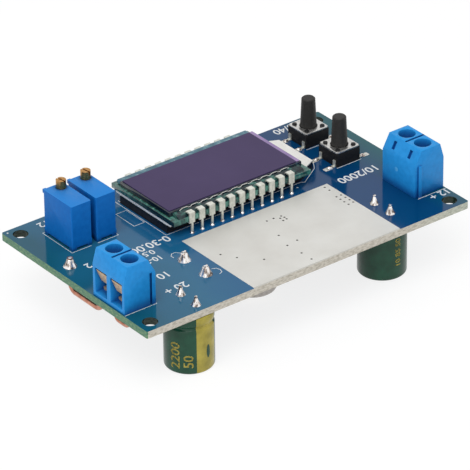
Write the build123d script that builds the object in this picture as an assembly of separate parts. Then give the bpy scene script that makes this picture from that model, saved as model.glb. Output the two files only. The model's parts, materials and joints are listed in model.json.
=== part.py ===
from build123d import *
import os

# Adjustable power supply module on one circuit board.
# +Z is up, +X runs along the board from the output end to the input end.
# The origin is the centre of the four mounting holes, in the board's underside.
# All sizes are millimetres.

# Board
board_length = 81.4
board_width = 49.0
board_thickness = 1.6
board_corner_radius = 0.5
hole_inset = 2.8
mounting_hole_radius = 1.6
lead_hole_clearance = 0.12
flush_clearance = 0.02
cut_past = 1.0

# Tinned copper area that gives off the heat
tin_length = 37.2
tin_width = 23.3
tin_thickness = 0.06
tin_from_left = 26.25
tin_from_front = 0.3

# Screw terminals
terminal_pitch = 5.0
terminal_width = 10.3
terminal_depth = 7.6
terminal_height = 10.4
terminal_edge_gap = 0.3
terminal_from_front = 12.85
shoulder_height = 3.2
entry_shoulder = 0.95
back_shoulder = 1.75
entry_width = 3.8
entry_sill = 0.9
entry_height = 5.6
cavity_depth = 6.5
screw_from_entry = 3.4
screw_well_radius = 1.8
divider_slot_width = 0.5
divider_slot_depth = 0.8
shoulder_slot_width = 0.85
shoulder_slot_length = 1.8
shoulder_slot_depth = 0.7
dovetail_from_back = 1.15
dovetail_neck = 0.55
dovetail_head = 0.95
dovetail_depth = 0.45
frame_thickness = 0.6
frame_side_clearance = 0.12
frame_front = 1.9
frame_top = 5.9
terminal_pin_radius = 0.5
pin_stick_out = 1.6
clamp_screw_radius = 1.2
clamp_screw_clearance = 0.06
clamp_head_radius = 1.6
clamp_head_height = 1.1
clamp_head_slot = 0.45
clamp_travel = 1.25
leaf_thickness = 0.35
leaf_height = 3.5
leaf_lip_top = 6.1
leaf_lip_front = 0.55
leaf_lip_share = 1.15
leaf_knee_share = 0.7
leaf_bend = 1.6
leaf_end = 5.2
touch_gap = 0.05

# Multi-turn trimmers
trimmer_length = 9.53
trimmer_width = 4.83
trimmer_height = 10.03
trimmer_spacing = 6.05
trimmer_from_left = 6.85
trimmer_from_front = 34.0
trimmer_foot_height = 0.45
trimmer_foot_length = 1.1
trimmer_foot_root = 1.0
trimmer_tab_size = 0.75
trimmer_tab_reach = 0.25
trimmer_tab_height = 0.8
trimmer_edge_radius = 0.25
trimmer_screw_radius = 1.05
trimmer_screw_height = 1.75
trimmer_screw_depth = 2.2
trimmer_screw_inset = 1.5
trimmer_screw_clearance = 0.05
trimmer_slot_width = 0.32
trimmer_slot_depth = 0.4
trimmer_slot_angle = 100
trimmer_pin_radius = 0.3
trimmer_pin_pitch = 2.54

# Display
lcd_pin_pitch = 2.54
lcd_pin_count = 11
lcd_first_pin_from_left = 29.96
lcd_from_front = 35.8
lower_glass_length = 35.0
lower_glass_width = 21.1
glass_from_left = 25.6
glass_ledge_left = 0.5
glass_ledge_right = 0.6
glass_ledge_side = 2.35
glass_thickness = 1.1
polariser_inset = 0.35
polariser_right_inset = 1.05
polariser_thickness = 0.2
rear_polariser_thickness = 0.5
rear_polariser_inset = 0.1
backlight_height = 1.9
light_guide_height = 0.2
backlight_side_inset = 2.6
backlight_inset = 0.2
backlight_shoulder_inset = 0.6
backlight_taper_length = 5.0
backlight_taper_width = 2.4
clip_width = 1.4
clip_thickness = 0.25
clip_rise = 1.0
clip_back_rise = 0.4
clip_upper_reach = 1.9
clip_lower_reach = 1.3
clip_leg_width = 0.5
clip_glass_gap = 0.1
bead_height = 0.75
bead_outer_height = 0.45
bead_slope = 0.375
bead_from_edge = 0.3
bead_end_gap = 1.5

# Push buttons
button_size = 6.0
button_base_height = 3.1
button_plate_thickness = 0.3
plate_corner = 0.4
button_from_lcd = 4.25
button_pitch = 10.2
front_button_from_front = 30.5
button_cavity_radius = 2.35
button_cavity_floor = 0.8
stem_bottom_radius = 1.75
stem_top_radius = 1.45
stem_height = 6.5
stem_clearance = 0.15
stem_flange_radius = 2.1
stem_flange_height = 0.8
stem_travel = 0.25
stem_edge = 0.2
stem_nub_radius = 0.7
rivet_radius = 0.48
rivet_height = 0.25
rivet_inset = 0.95
dome_radius = 1.9
dome_rise = 0.3
dome_middle_share = 0.76
dome_thickness = 0.08
leg_width = 0.7
leg_thickness = 0.25
leg_pitch = 4.5
leg_root = 0.55
leg_reach = 2.2
leg_height = 1.5

# Hanging capacitors
capacitor_radius = 5.1
capacitor_height = 12.5
capacitor_gap = 0.15
sleeve_thickness = 0.15
capacitor_edge_radius = 1.4
capacitor_lead_pitch = 5.0
capacitor_lead_radius = 0.3
crimp_from_board = 2.2
crimp_depth = 0.4
crimp_half_height = 0.7
bung_radius = 4.2
bung_depth = 1.3
output_capacitor_from_left = 13.6
output_capacitor_from_front = 4.8
input_capacitor_from_right = 15.5
input_capacitor_from_front = 8.8

# Surface-mount capacitor
middle_can_radius = 5.0
middle_can_height = 10.2
middle_base_size = 10.3
middle_base_height = 1.5
middle_base_pocket = 0.6
middle_base_chamfer = 1.6
middle_groove_from_base = 1.9
middle_groove_depth = 0.35
middle_can_edge = 0.9
middle_capacitor_gap = 5.05
middle_capacitor_from_front = 18.0

# Copper wires
shunt_radius = 0.6
shunt_from_left = 3.13
shunt_back_leg = 29.7
shunt_span = 10.4
shunt_drop = 3.7
shunt_bend = 1.8
link_radius = 0.45
link_from_left = 1.9
link_back_leg = 12.9
link_span = 4.3
link_drop = 2.1
link_bend = 1.2
link_end_below_top = 0.1

# Ring inductors
core_outer_radius = 8.0
core_inner_radius = 4.0
core_height = 7.0
core_edge = 0.6
wire_thickness = 1.0
turn_gap = 0.05
turn_count = 15
turn_arc = 300
winding_gap = 0.25
output_inductor_from_left = 26.0
pin_count_before_input_coil = 8
input_lead_pitches = 1.5
output_lead_from_left = 22.2
output_lead_front = 10.4
output_lead_back = 17.45
input_lead_backlight_gap = 1.15
coil_lead_bend = 0.9

# Power parts under the tinned area
transistor_size = (10.2, 9.0, 4.4)
transistor_capacitor_gap = 0.7
transistor_from_front = 13.6
diode_size = (6.6, 6.1, 2.3)
diode_from_left = 30.0
diode_from_front = 8.4
transistor_leg_pitch = 5.08
diode_leg_pitch = 4.57
power_tab_reach = 1.2
power_tab_share = 0.3
power_leg_reach = 3.8
power_leg_width = 0.8
power_leg_thickness = 0.5
power_leg_end_share = 0.05
power_tab_end_share = 0.1

# Bends of a gull-wing leg, counted in leg thicknesses from the body
leg_level_end = 2
leg_knee = 3
leg_landing = 4

# Chips: length, width and height, then their legs per side and pitch
small_chip_size = (4.9, 3.9, 1.5)
small_chip_legs = (4, 1.27, 0.42)
display_chip_size = (7.0, 7.0, 1.4)
display_chip_legs = (8, 0.8, 0.35)
regulator_size = (6.5, 3.5, 1.6)
regulator_legs = (3, 2.3, 0.7)
regulator_tab = (1, 2.3, 3.0)
chip_standoff = 0.08
chip_edge_share = 0.1
chip_leg_thickness = 0.16
chip_leg_reach = 1.0

# Places of the chips, from the left and front edges of the board
amplifier_place = (13.5, 24.5)
converter_chip_place = (13.5, 15.0)
display_chip_place = (69.0, 30.0)
regulator_place = (63.5, 43.6)

# Chip resistors and capacitors, and the first place, count and step of each row
resistor_size = (2.0, 1.25, 0.55)
ceramic_size = (2.0, 1.25, 1.25)
end_cap_length = 0.35
resistor_rows = (((10.0, 30.6), 3, (2.6, 0)), ((77.2, 23.5), 5, (0, 2.5)), ((19.0, 12.6), 3, (0, 2.4)))
ceramic_rows = (((66.4, 37.6), 3, (2.8, 0)), ((67.6, 20.2), 3, (0, 2.0)), ((36.0, 8.0), 3, (2.8, 0)))

# Solder
solder_base = 0.75
solder_height = 1.5
lead_tip = 0.4
low_solder_height = 0.7
pin_solder_base = 0.3
pin_solder_height = 0.6
solder_sides = 10

# Share of a worn edge's radius that is left at its middle
worn_share = 1 - 0.5 ** 0.5

board_top = board_thickness
left_edge = -board_length / 2
right_edge = board_length / 2
front_edge = -board_width / 2
back_edge = board_width / 2

lcd_first_pin = left_edge + lcd_first_pin_from_left
lcd_y = front_edge + lcd_from_front
glass_left = left_edge + glass_from_left
upper_glass_length = lower_glass_length - glass_ledge_left - glass_ledge_right
upper_glass_width = lower_glass_width - 2 * glass_ledge_side
polariser_length = upper_glass_length - polariser_inset - polariser_right_inset
polariser_width = upper_glass_width - 2 * polariser_inset
backlight_width = lower_glass_width - 2 * backlight_side_inset
backlight_left = glass_left + backlight_inset
backlight_shoulder = glass_left + lower_glass_length - backlight_shoulder_inset
backlight_end = backlight_shoulder + backlight_taper_length
lower_glass_bottom = board_top + backlight_height + light_guide_height + rear_polariser_thickness
ledge_top = lower_glass_bottom + glass_thickness
button_x = backlight_end + button_from_lcd + button_size / 2
button_plate_top = button_base_height + button_plate_thickness


def box(low, high):
    # A block from its lowest corner to its highest
    size = [b - a for a, b in zip(low, high)]
    return Pos(*low) * Box(*size, align=(Align.MIN, Align.MIN, Align.MIN))


def rod(x, y, low, high, radius):
    return Pos(x, y, low) * Cylinder(radius, high - low, align=(Align.CENTER, Align.CENTER, Align.MIN))


def extrude_y(points, y_low, y_high):
    # A closed outline in X and Z, made thick along Y
    face = make_face(Polyline(*[(x, 0, z) for x, z in points], close=True))
    return Pos(0, y_low, 0) * extrude(face, y_high - y_low, dir=(0, 1, 0))


def extrude_x(points, x_low, x_high):
    # A closed outline in Y and Z, made thick along X
    face = make_face(Polyline(*[(0, y, z) for y, z in points], close=True))
    return Pos(x_low, 0, 0) * extrude(face, x_high - x_low, dir=(1, 0, 0))


def turned(points, x, y, z):
    # A closed outline in radius and height, turned about a vertical axis
    face = make_face(Polyline(*[(r, 0, h) for r, h in points], close=True))
    return Pos(x, y, z) * revolve(face, Axis.Z)


def wire_sweep(points, radii, radius):
    # A round wire along straight runs and bends
    path = FilletPolyline(*points, radius=radii)
    start = path @ 0
    heading = path % 0
    section = Plane(origin=start, z_dir=heading) * Circle(radius)
    return sweep(section, path=path)


def group(solids):
    # Separate solids that share one node
    return Compound(children=[s.solid() for s in solids])


# Places of leads that go through the board: x, y, radius
def terminal_pin_places(screw_x):
    middle = front_edge + terminal_from_front
    return [(screw_x, middle + side * terminal_pitch / 2, terminal_pin_radius) for side in (-1, 1)]


output_screw_x = left_edge + terminal_edge_gap + screw_from_entry
input_screw_x = right_edge - terminal_edge_gap - screw_from_entry
trimmer_middles = [left_edge + trimmer_from_left + trimmer_width / 2 + i * trimmer_spacing for i in (0, 1)]
trimmer_middle_y = front_edge + trimmer_from_front + trimmer_length / 2
trimmer_seats = [Pos(x, trimmer_middle_y, board_top) for x in trimmer_middles]
trimmer_pins = [(x, trimmer_middle_y + i * trimmer_pin_pitch, trimmer_pin_radius)
                for x in trimmer_middles for i in (-1, 0, 1)]
button_seats = [Pos(button_x, front_edge + front_button_from_front + i * button_pitch, board_top)
                for i in (0, 1)]
clip_outer_half = lower_glass_width / 2 + clip_glass_gap + clip_thickness
lcd_pin_xs = [lcd_first_pin + i * lcd_pin_pitch for i in range(lcd_pin_count)]
lcd_leg_ys = [lcd_y + side * (clip_outer_half - clip_thickness / 2) for side in (-1, 1)]
lcd_leg_radius = Vector(clip_leg_width, clip_thickness, 0).length / 2
output_capacitor_place = (left_edge + output_capacitor_from_left, front_edge + output_capacitor_from_front)
input_capacitor_place = (right_edge - input_capacitor_from_right,
                         front_edge + input_capacitor_from_front)
transistor_right = input_capacitor_place[0] - capacitor_radius - transistor_capacitor_gap
transistor_x = transistor_right - transistor_size[0] / 2
middle_base_right = transistor_right - transistor_size[0] - middle_capacitor_gap
middle_capacitor_x = middle_base_right - middle_base_size / 2


def capacitor_leads_at(place):
    x, y = place
    return [(x, y + side * capacitor_lead_pitch / 2, capacitor_lead_radius) for side in (-1, 1)]


shunt_x = left_edge + shunt_from_left
shunt_ys = (front_edge + shunt_back_leg, front_edge + shunt_back_leg - shunt_span)
link_x = left_edge + link_from_left
link_ys = (front_edge + link_back_leg, front_edge + link_back_leg - link_span)
output_lead_x = left_edge + output_lead_from_left
output_lead_ys = (front_edge + output_lead_front, front_edge + output_lead_back)
output_coil = (left_edge + output_inductor_from_left, lcd_y)
input_coil = (lcd_pin_xs[pin_count_before_input_coil], lcd_y)
input_lead_places = [(input_coil[0] + side * input_lead_pitches * lcd_pin_pitch,
                      lcd_y + backlight_width / 2 + input_lead_backlight_gap) for side in (-1, 1)]
coil_lead_radius = wire_thickness / 2


def all_leads():
    leads = terminal_pin_places(output_screw_x) + terminal_pin_places(input_screw_x)
    leads += trimmer_pins
    leads += [(x, y, lcd_leg_radius) for x in lcd_pin_xs for y in lcd_leg_ys]
    leads += capacitor_leads_at(output_capacitor_place) + capacitor_leads_at(input_capacitor_place)
    leads += [(shunt_x, y, shunt_radius) for y in shunt_ys]
    leads += [(link_x, y, link_radius) for y in link_ys]
    leads += [(output_lead_x, y, coil_lead_radius) for y in output_lead_ys]
    leads += [(x, y, coil_lead_radius) for x, y in input_lead_places]
    return leads


def circuit_board():
    outline = RectangleRounded(board_length, board_width, board_corner_radius)
    for x in (left_edge + hole_inset, right_edge - hole_inset):
        for y in (front_edge + hole_inset, back_edge - hole_inset):
            outline -= Pos(x, y) * Circle(mounting_hole_radius)
    for x, y, radius in all_leads():
        outline -= Pos(x, y) * Circle(radius + lead_hole_clearance)
    return extrude(outline, board_thickness)


def tinned_area():
    x = left_edge + tin_from_left
    y = front_edge + tin_from_front
    return box((x, y, board_top), (x + tin_length, y + tin_width, board_top + tin_thickness))


# Screw terminal, drawn with its wire entries at x = 0 facing -X and its middle at y = 0
entry_top = entry_sill + entry_height
frame_half_width = entry_width / 2 - frame_side_clearance
way_middles = (-terminal_pitch / 2, terminal_pitch / 2)


def terminal_housing():
    shoulder_z = terminal_height - shoulder_height
    profile = [(0, 0), (0, shoulder_z), (entry_shoulder, terminal_height),
               (terminal_depth - back_shoulder, terminal_height), (terminal_depth, shoulder_z),
               (terminal_depth, 0)]
    half = terminal_width / 2
    body = extrude_y(profile, -half, half)
    rib_middle = terminal_depth - dovetail_from_back
    neck = dovetail_neck / 2
    head = dovetail_head / 2
    deep = dovetail_depth
    for y in way_middles:
        body -= box((-cut_past, y - entry_width / 2, entry_sill),
                    (cavity_depth, y + entry_width / 2, entry_top))
        body -= rod(screw_from_entry, y, entry_top - cut_past, terminal_height + cut_past, screw_well_radius)
        body -= rod(screw_from_entry, y, -cut_past, entry_sill + cut_past,
                    terminal_pin_radius + lead_hole_clearance)
        slot_x = terminal_depth - back_shoulder / 2
        slot = box((slot_x - shoulder_slot_length / 2, y - shoulder_slot_width / 2, -shoulder_slot_depth),
                   (slot_x + shoulder_slot_length / 2, y + shoulder_slot_width / 2, cut_past))
        tilt = Pos(slot_x, 0, terminal_height - shoulder_height / 2) * Rot(0, shoulder_angle(), 0)
        body -= tilt * Pos(-slot_x, 0, 0) * slot
    body -= box((entry_shoulder, -divider_slot_width / 2, terminal_height - divider_slot_depth),
                (terminal_depth - back_shoulder, divider_slot_width / 2,
                 terminal_height + cut_past))
    groove = [(rib_middle - neck, -half), (rib_middle + neck, -half),
              (rib_middle + head, deep - half), (rib_middle - head, deep - half)]
    body -= extrude(make_face(Polyline(*groove, close=True)), shoulder_z)
    rib = [(rib_middle - neck, half), (rib_middle + neck, half),
           (rib_middle + head, half + deep), (rib_middle - head, half + deep)]
    return body + extrude(make_face(Polyline(*rib, close=True)), shoulder_z)


def shoulder_angle():
    # How far the back shoulder leans from level, in degrees
    slope = Vector(back_shoulder, shoulder_height, 0)
    return slope.get_angle(Vector(1, 0, 0))


def terminal_frame(y):
    # A bent metal strip: threaded bridge, back wall and foot, with its pin
    end = cavity_depth - frame_side_clearance
    thick = frame_thickness
    foot_top = entry_sill + thick
    strip = [(frame_front, frame_top), (frame_front, frame_top - thick), (end - thick, frame_top - thick),
             (end - thick, foot_top), (frame_front, foot_top), (frame_front, entry_sill),
             (end, entry_sill), (end, frame_top)]
    frame = extrude_y(strip, y - frame_half_width, y + frame_half_width)
    frame -= rod(screw_from_entry, y, foot_top + thick, terminal_height,
                 clamp_screw_radius + clamp_screw_clearance)
    pin_end = -board_thickness - pin_stick_out
    return frame + rod(screw_from_entry, y, pin_end, entry_sill, terminal_pin_radius)


def pressure_leaf(y):
    top = leaf_height
    under = leaf_height - leaf_thickness
    lip = leaf_thickness * leaf_lip_share
    outline = [(leaf_lip_front, leaf_lip_top), (leaf_bend, top), (leaf_end, top),
               (leaf_end, under), (leaf_bend - leaf_thickness * leaf_knee_share, under),
               (leaf_lip_front - lip, leaf_lip_top)]
    half = frame_half_width - frame_side_clearance
    return extrude_y(outline, y - half, y + half)


def clamp_screw(y):
    head_low = frame_top + clamp_travel + touch_gap
    head_top = head_low + clamp_head_height
    screw = rod(screw_from_entry, y, leaf_height + touch_gap, head_low, clamp_screw_radius)
    screw += rod(screw_from_entry, y, head_low, head_top, clamp_head_radius)
    reach = clamp_head_radius + cut_past
    half = clamp_head_slot / 2
    return screw - box((screw_from_entry - reach, y - half, head_top - clamp_head_slot),
                       (screw_from_entry + reach, y + half, head_top + cut_past))


output_seat = Pos(left_edge + terminal_edge_gap, front_edge + terminal_from_front, board_top)
input_place = (right_edge - terminal_edge_gap, front_edge + terminal_from_front, board_top)
input_seat = Pos(*input_place) * Rot(0, 0, 180)


# Trimmer, drawn about its own middle with its foot at z = 0
def trimmer_case():
    half_w = trimmer_width / 2
    half_l = trimmer_length / 2
    case = box((-half_w, -half_l, trimmer_foot_height), (half_w, half_l, trimmer_height))
    upright = case.edges().filter_by(Axis.Z)
    case = fillet(upright, trimmer_edge_radius)
    foot = trimmer_foot_length
    for sx in (-1, 1):
        for sy in (-1, 1):
            corner = (sx * half_w, sy * half_l)
            inner = (sx * (half_w - foot), sy * (half_l - foot))
            low = [min(a, b) for a, b in zip(corner, inner)]
            high = [max(a, b) for a, b in zip(corner, inner)]
            case += box((*low, 0), (*high, trimmer_foot_height + trimmer_foot_root))
    tab = trimmer_tab_size
    for sx in (-1, 1):
        case += box((sx * (half_w - tab / 2) - tab / 2, half_l - tab, trimmer_height - trimmer_tab_height),
                    (sx * (half_w - tab / 2) + tab / 2, half_l + trimmer_tab_reach, trimmer_height))
    hole = rod(half_w - trimmer_screw_inset, half_l - trimmer_screw_inset,
               trimmer_height - trimmer_screw_depth, trimmer_height + cut_past,
               trimmer_screw_radius + trimmer_screw_clearance)
    return case - hole


def trimmer_screw():
    x = trimmer_width / 2 - trimmer_screw_inset
    y = trimmer_length / 2 - trimmer_screw_inset
    top = trimmer_height + trimmer_screw_height
    screw = rod(x, y, trimmer_height - trimmer_screw_depth + touch_gap, top, trimmer_screw_radius)
    reach = trimmer_screw_radius + cut_past
    half = trimmer_slot_width / 2
    slot = box((-reach, -half, top - trimmer_slot_depth), (reach, half, top + cut_past))
    return screw - Pos(x, y, 0) * Rot(0, 0, trimmer_slot_angle) * slot


def trimmer_pin_group():
    low = -board_thickness - pin_stick_out
    return [rod(0, i * trimmer_pin_pitch, low, trimmer_foot_height, trimmer_pin_radius) for i in (-1, 0, 1)]


# Display, from the board up
def backlight_block(low, height):
    half = backlight_width / 2
    straight = backlight_shoulder
    tip = half - backlight_taper_width
    points = [(backlight_left, lcd_y - half), (straight, lcd_y - half), (backlight_end, lcd_y - tip),
              (backlight_end, lcd_y + tip), (straight, lcd_y + half), (backlight_left, lcd_y + half)]
    return Pos(0, 0, low) * extrude(make_face(Polyline(*points, close=True)), height)


def lcd_sheet(left, length, width, low, thickness):
    half = width / 2
    return box((left, lcd_y - half, low), (left + length, lcd_y + half, low + thickness))


def clip_pin(x, side):
    # A spring clip on the edge of the lower glass, with a narrow leg through the board
    t = clip_thickness
    glass_edge = lower_glass_width / 2
    inner = glass_edge + clip_glass_gap
    outer = inner + t
    top = ledge_top + (clip_rise if side < 0 else clip_back_rise)
    low = lower_glass_bottom - t
    bend = glass_edge - clip_upper_reach / 2
    touch = glass_edge - clip_upper_reach
    outline = [(outer, low), (outer, top), (bend, top), (touch, ledge_top), (touch + t, ledge_top),
               (bend + t / 2, top - t), (inner, top - t), (inner, lower_glass_bottom),
               (glass_edge - clip_lower_reach, lower_glass_bottom), (glass_edge - clip_lower_reach, low)]
    head = extrude_x([(lcd_y + side * y, z) for y, z in outline], x - clip_width / 2, x + clip_width / 2)
    ys = sorted((lcd_y + side * inner, lcd_y + side * outer))
    leg_half = clip_leg_width / 2
    return head + box((x - leg_half, ys[0], -pin_stick_out), (x + leg_half, ys[1], low))


def glue_bead(side, clips):
    # Clear glue along the ledge, over the tips of the clips
    inner = upper_glass_width / 2
    outer = lower_glass_width / 2 - bead_from_edge
    outline = [(inner, ledge_top), (outer, ledge_top), (outer - bead_slope, ledge_top + bead_outer_height),
               (inner + bead_slope, ledge_top + bead_height), (inner, ledge_top + bead_height)]
    right = glass_left + lower_glass_length
    bead = extrude_x([(lcd_y + side * y, z) for y, z in outline],
                     glass_left + bead_end_gap, right - bead_end_gap)
    for clip in clips:
        bead -= clip
    return bead


# Push button, drawn about its own middle
def button_corners():
    middle = button_size / 2 - rivet_inset
    return [(sx * middle, sy * middle) for sx in (-1, 1) for sy in (-1, 1)]


def button_base():
    half = button_size / 2
    base = box((-half, -half, 0), (half, half, button_base_height))
    for x, y in button_corners():
        base += rod(x, y, button_base_height - leg_thickness, button_plate_top + rivet_height, rivet_radius)
    base -= rod(0, 0, button_cavity_floor, button_base_height + cut_past, button_cavity_radius)
    for sx in (-1, 1):
        xs = sorted((sx * half, sx * (half - leg_root)))
        for y in (-leg_pitch / 2, leg_pitch / 2):
            base -= box((xs[0], y - leg_width / 2, leg_height - leg_thickness),
                        (xs[1], y + leg_width / 2, leg_height))
    return base


def button_plate():
    half = button_size / 2
    plate = box((-half, -half, button_base_height), (half, half, button_plate_top))
    plate = chamfer(plate.edges().filter_by(Axis.Z), plate_corner)
    plate -= rod(0, 0, 0, button_plate_top + cut_past, stem_bottom_radius + stem_clearance)
    for x, y in button_corners():
        plate -= rod(x, y, 0, button_plate_top + cut_past, rivet_radius + flush_clearance)
    return plate


def button_stem():
    # Tapered stem with a flange that is trapped under the plate
    flange_top = button_base_height - touch_gap
    flange_low = flange_top - stem_flange_height
    tip = button_plate_top + stem_height
    profile = [(0, flange_low), (stem_flange_radius, flange_low), (stem_flange_radius, flange_top),
               (stem_bottom_radius, flange_top), (stem_bottom_radius, button_plate_top),
               (stem_top_radius, tip - stem_edge), (stem_top_radius - stem_edge, tip), (0, tip)]
    nub_low = button_cavity_floor + dome_rise + dome_thickness + stem_travel + touch_gap
    return turned(profile, 0, 0, 0) + rod(0, 0, nub_low, flange_low, stem_nub_radius)


def button_dome():
    # A shallow snap disc that the stem presses on
    low = button_cavity_floor
    arc = ThreePointArc((0, 0, low + dome_rise), (dome_radius / 2, 0, low + dome_rise * dome_middle_share),
                        (dome_radius, 0, low))
    upper = Pos(0, 0, dome_thickness) * arc
    section = make_face([arc, upper, Line(arc @ 1, upper @ 1), Line(arc @ 0, upper @ 0)])
    return revolve(section, Axis.Z)


def button_leg(sx, y):
    # A tinned strip: out of the base, down the side and out along the board
    half = button_size / 2
    t = leg_thickness
    outline = [(half - leg_root, leg_height), (half + t, leg_height), (half + t, t),
               (half + leg_reach, t), (half + leg_reach, 0), (half, 0), (half, leg_height - t),
               (half - leg_root, leg_height - t)]
    return extrude_y([(sx * x, z) for x, z in outline], y - leg_width / 2, y + leg_width / 2)


def button_legs():
    return [button_leg(sx, y) for sx in (-1, 1) for y in (-leg_pitch / 2, leg_pitch / 2)]


# Hanging capacitor, drawn with its lead end at z = 0 and its body below
def can_side(radius, top, low):
    # Half outline of a can with its crimped groove and its worn edge
    groove = -crimp_from_board
    edge = capacitor_edge_radius
    bend = edge * worn_share
    return [(radius, top), (radius, groove + crimp_half_height), (radius - crimp_depth, groove),
            (radius, groove - crimp_half_height), (radius, low + edge), (radius - bend, low + bend),
            (radius - edge, low)]


def capacitor_sleeve():
    wall = sleeve_thickness
    outer = can_side(capacitor_radius, 0, -capacitor_height)
    inner = can_side(capacitor_radius - wall, -wall, wall - capacitor_height)
    lip = bung_radius + flush_clearance
    ring = [(lip, 0), *outer, (inner[-1][0], -capacitor_height), *reversed(inner), (lip, -wall)]
    return turned(ring, 0, 0, 0)


def capacitor_can():
    wall = sleeve_thickness
    side = can_side(capacitor_radius - wall, -wall, wall - capacitor_height)
    seat = bung_radius + flush_clearance
    return turned([(0, -bung_depth), (seat, -bung_depth), (seat, -wall), *side,
                   (0, wall - capacitor_height)], 0, 0, 0)


def capacitor_bung():
    bung = rod(0, 0, -bung_depth, 0, bung_radius)
    for y in (-capacitor_lead_pitch / 2, capacitor_lead_pitch / 2):
        bung -= rod(0, y, -bung_depth - cut_past, cut_past, capacitor_lead_radius + flush_clearance)
    return bung


def capacitor_leads():
    top = capacitor_gap + board_thickness + solder_height + lead_tip
    return [rod(0, y, -bung_depth, top, capacitor_lead_radius)
            for y in (-capacitor_lead_pitch / 2, capacitor_lead_pitch / 2)]


# Surface-mount capacitor, drawn under the board at z = 0
def middle_capacitor_base():
    outline = Rectangle(middle_base_size, middle_base_size)
    outline = chamfer(outline.vertices().sort_by(Axis.X)[:2], middle_base_chamfer)
    block = Pos(0, 0, -middle_base_height) * extrude(outline, middle_base_height)
    pocket = rod(0, 0, -middle_base_height - cut_past, middle_base_pocket - middle_base_height,
                 middle_can_radius + flush_clearance)
    return block - pocket


def middle_capacitor_can():
    r = middle_can_radius
    low = -middle_can_height
    top = middle_base_pocket - middle_base_height
    edge = middle_can_edge
    bend = edge * worn_share
    groove = top - middle_groove_from_base
    half = middle_groove_depth
    return turned([(0, top), (r, top), (r, groove + half), (r - middle_groove_depth, groove),
                   (r, groove - half), (r, low + edge), (r - bend, low + bend), (r - edge, low), (0, low)],
                  0, 0, 0)


# Copper wires
def u_wire(x, ys, drop, bend, radius, top):
    y_back, y_front = ys
    points = [(x, y_back, top), (x, y_back, -drop), (x, y_front, -drop), (x, y_front, top)]
    return wire_sweep(points, [bend, bend], radius)


# Ring inductor, drawn about its own axis with its top turns just under the board at z = 0
core_middle = -winding_gap - wire_thickness - turn_gap - core_height / 2
core_ring_middle = (core_outer_radius + core_inner_radius) / 2
lead_run_z = -winding_gap - wire_thickness / 2


def ring_section(extra):
    # The ring's outline with its edges cut, the same distance outside it all round
    width = core_outer_radius - core_inner_radius + 2 * extra
    outline = Rectangle(width, core_height + 2 * extra)
    return chamfer(outline.vertices(), core_edge + 2 * worn_share * extra)


def ring_core():
    section = Plane.XZ * Pos(core_ring_middle, 0) * ring_section(0)
    return Pos(0, 0, core_middle) * revolve(section, Axis.Z)


def core_turn():
    # One turn of wire round the ring's section
    loop = ring_section(turn_gap + wire_thickness) - ring_section(turn_gap)
    loop = Plane.XZ * Pos(core_ring_middle, 0) * loop
    return Pos(0, wire_thickness / 2, core_middle) * extrude(loop, wire_thickness, dir=(0, -1, 0))


def winding(centre, gap_angle, leads):
    # Turns all round the core but for a gap, with a lead from the turn at each side of the gap
    turn = core_turn()
    first = gap_angle + (360 - turn_arc) / 2
    angles = [first + i * turn_arc / (turn_count - 1) for i in range(turn_count)]
    turns = [Pos(*centre, 0) * Rot(0, 0, angle) * turn for angle in angles]
    for i, (x, y, top) in zip((0, -1), leads):
        start = Vector(*centre, lead_run_z) + Vector(core_outer_radius - wire_thickness / 2, 0, 0).rotate(
            Axis.Z, angles[i])
        turns[i] += wire_sweep([start, (x, y, lead_run_z), (x, y, top)], coil_lead_bend, coil_lead_radius)
    return turns


# Power parts, drawn under the board at z = 0 with their legs towards -Y
def power_part(size, leg_pitch_across):
    length, depth, height = size
    half_l = length / 2
    half_d = depth / 2
    middle = -height / 2
    profile = [(-half_d, middle), (-half_d + power_leg_end_share * height, -height),
               (half_d - power_tab_end_share * height, -height),
               (half_d, middle), (half_d, 0), (-half_d, 0)]
    part = extrude_x(profile, -half_l, half_l)
    tab_half = half_l - power_leg_width / 2
    part += box((-tab_half, half_d, -power_tab_share * height), (tab_half, half_d + power_tab_reach, 0))
    t = power_leg_thickness
    level, knee, landing = (t * bend for bend in (leg_level_end, leg_knee, leg_landing))
    leg = [(0, middle), (knee, middle), (landing, -t), (power_leg_reach, -t), (power_leg_reach, 0),
           (knee, 0), (level, middle + t), (0, middle + t)]
    half_w = power_leg_width / 2
    for x in (-leg_pitch_across / 2, leg_pitch_across / 2):
        part += extrude_x([(-half_d - y, z) for y, z in leg], x - half_w, x + half_w)
    return part


# A moulded chip under the board, and its gull-wing legs
def chip_body(size):
    length, width, height = size
    body = Pos(0, 0, -height / 2 - chip_standoff) * Box(length, width, height)
    return chamfer(body.faces().sort_by(Axis.Z)[0].edges(), chip_edge_share * height)


def chip_side(size, legs):
    # The legs along the +Y side of a chip
    height = size[2]
    edge = size[1] / 2
    count, pitch, width = legs
    t = chip_leg_thickness
    middle = -height / 2
    foot = edge + chip_leg_reach
    level, knee, landing = (edge + t * bend for bend in (leg_level_end, leg_knee, leg_landing))
    outline = [(edge, middle - t), (knee, middle - t), (landing, -t), (foot, -t), (foot, 0),
               (knee, 0), (level, middle), (edge, middle)]
    xs = [(i - (count - 1) / 2) * pitch for i in range(count)]
    return [extrude_x(outline, x - width / 2, x + width / 2) for x in xs]


def chip_set():
    # Every chip as its size, its sides as angle and legs, and its place
    two_rows = [(0, small_chip_legs), (180, small_chip_legs)]
    four_rows = [(angle, display_chip_legs) for angle in (0, 90, 180, 270)]
    tabbed = [(0, regulator_legs), (180, regulator_tab)]
    return [(small_chip_size, two_rows, amplifier_place), (small_chip_size, two_rows, converter_chip_place),
            (display_chip_size, four_rows, display_chip_place), (regulator_size, tabbed, regulator_place)]


def on_board(place):
    return Pos(left_edge + place[0], front_edge + place[1], 0)


def chip_bodies():
    return [on_board(place) * chip_body(size) for size, sides, place in chip_set()]


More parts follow.
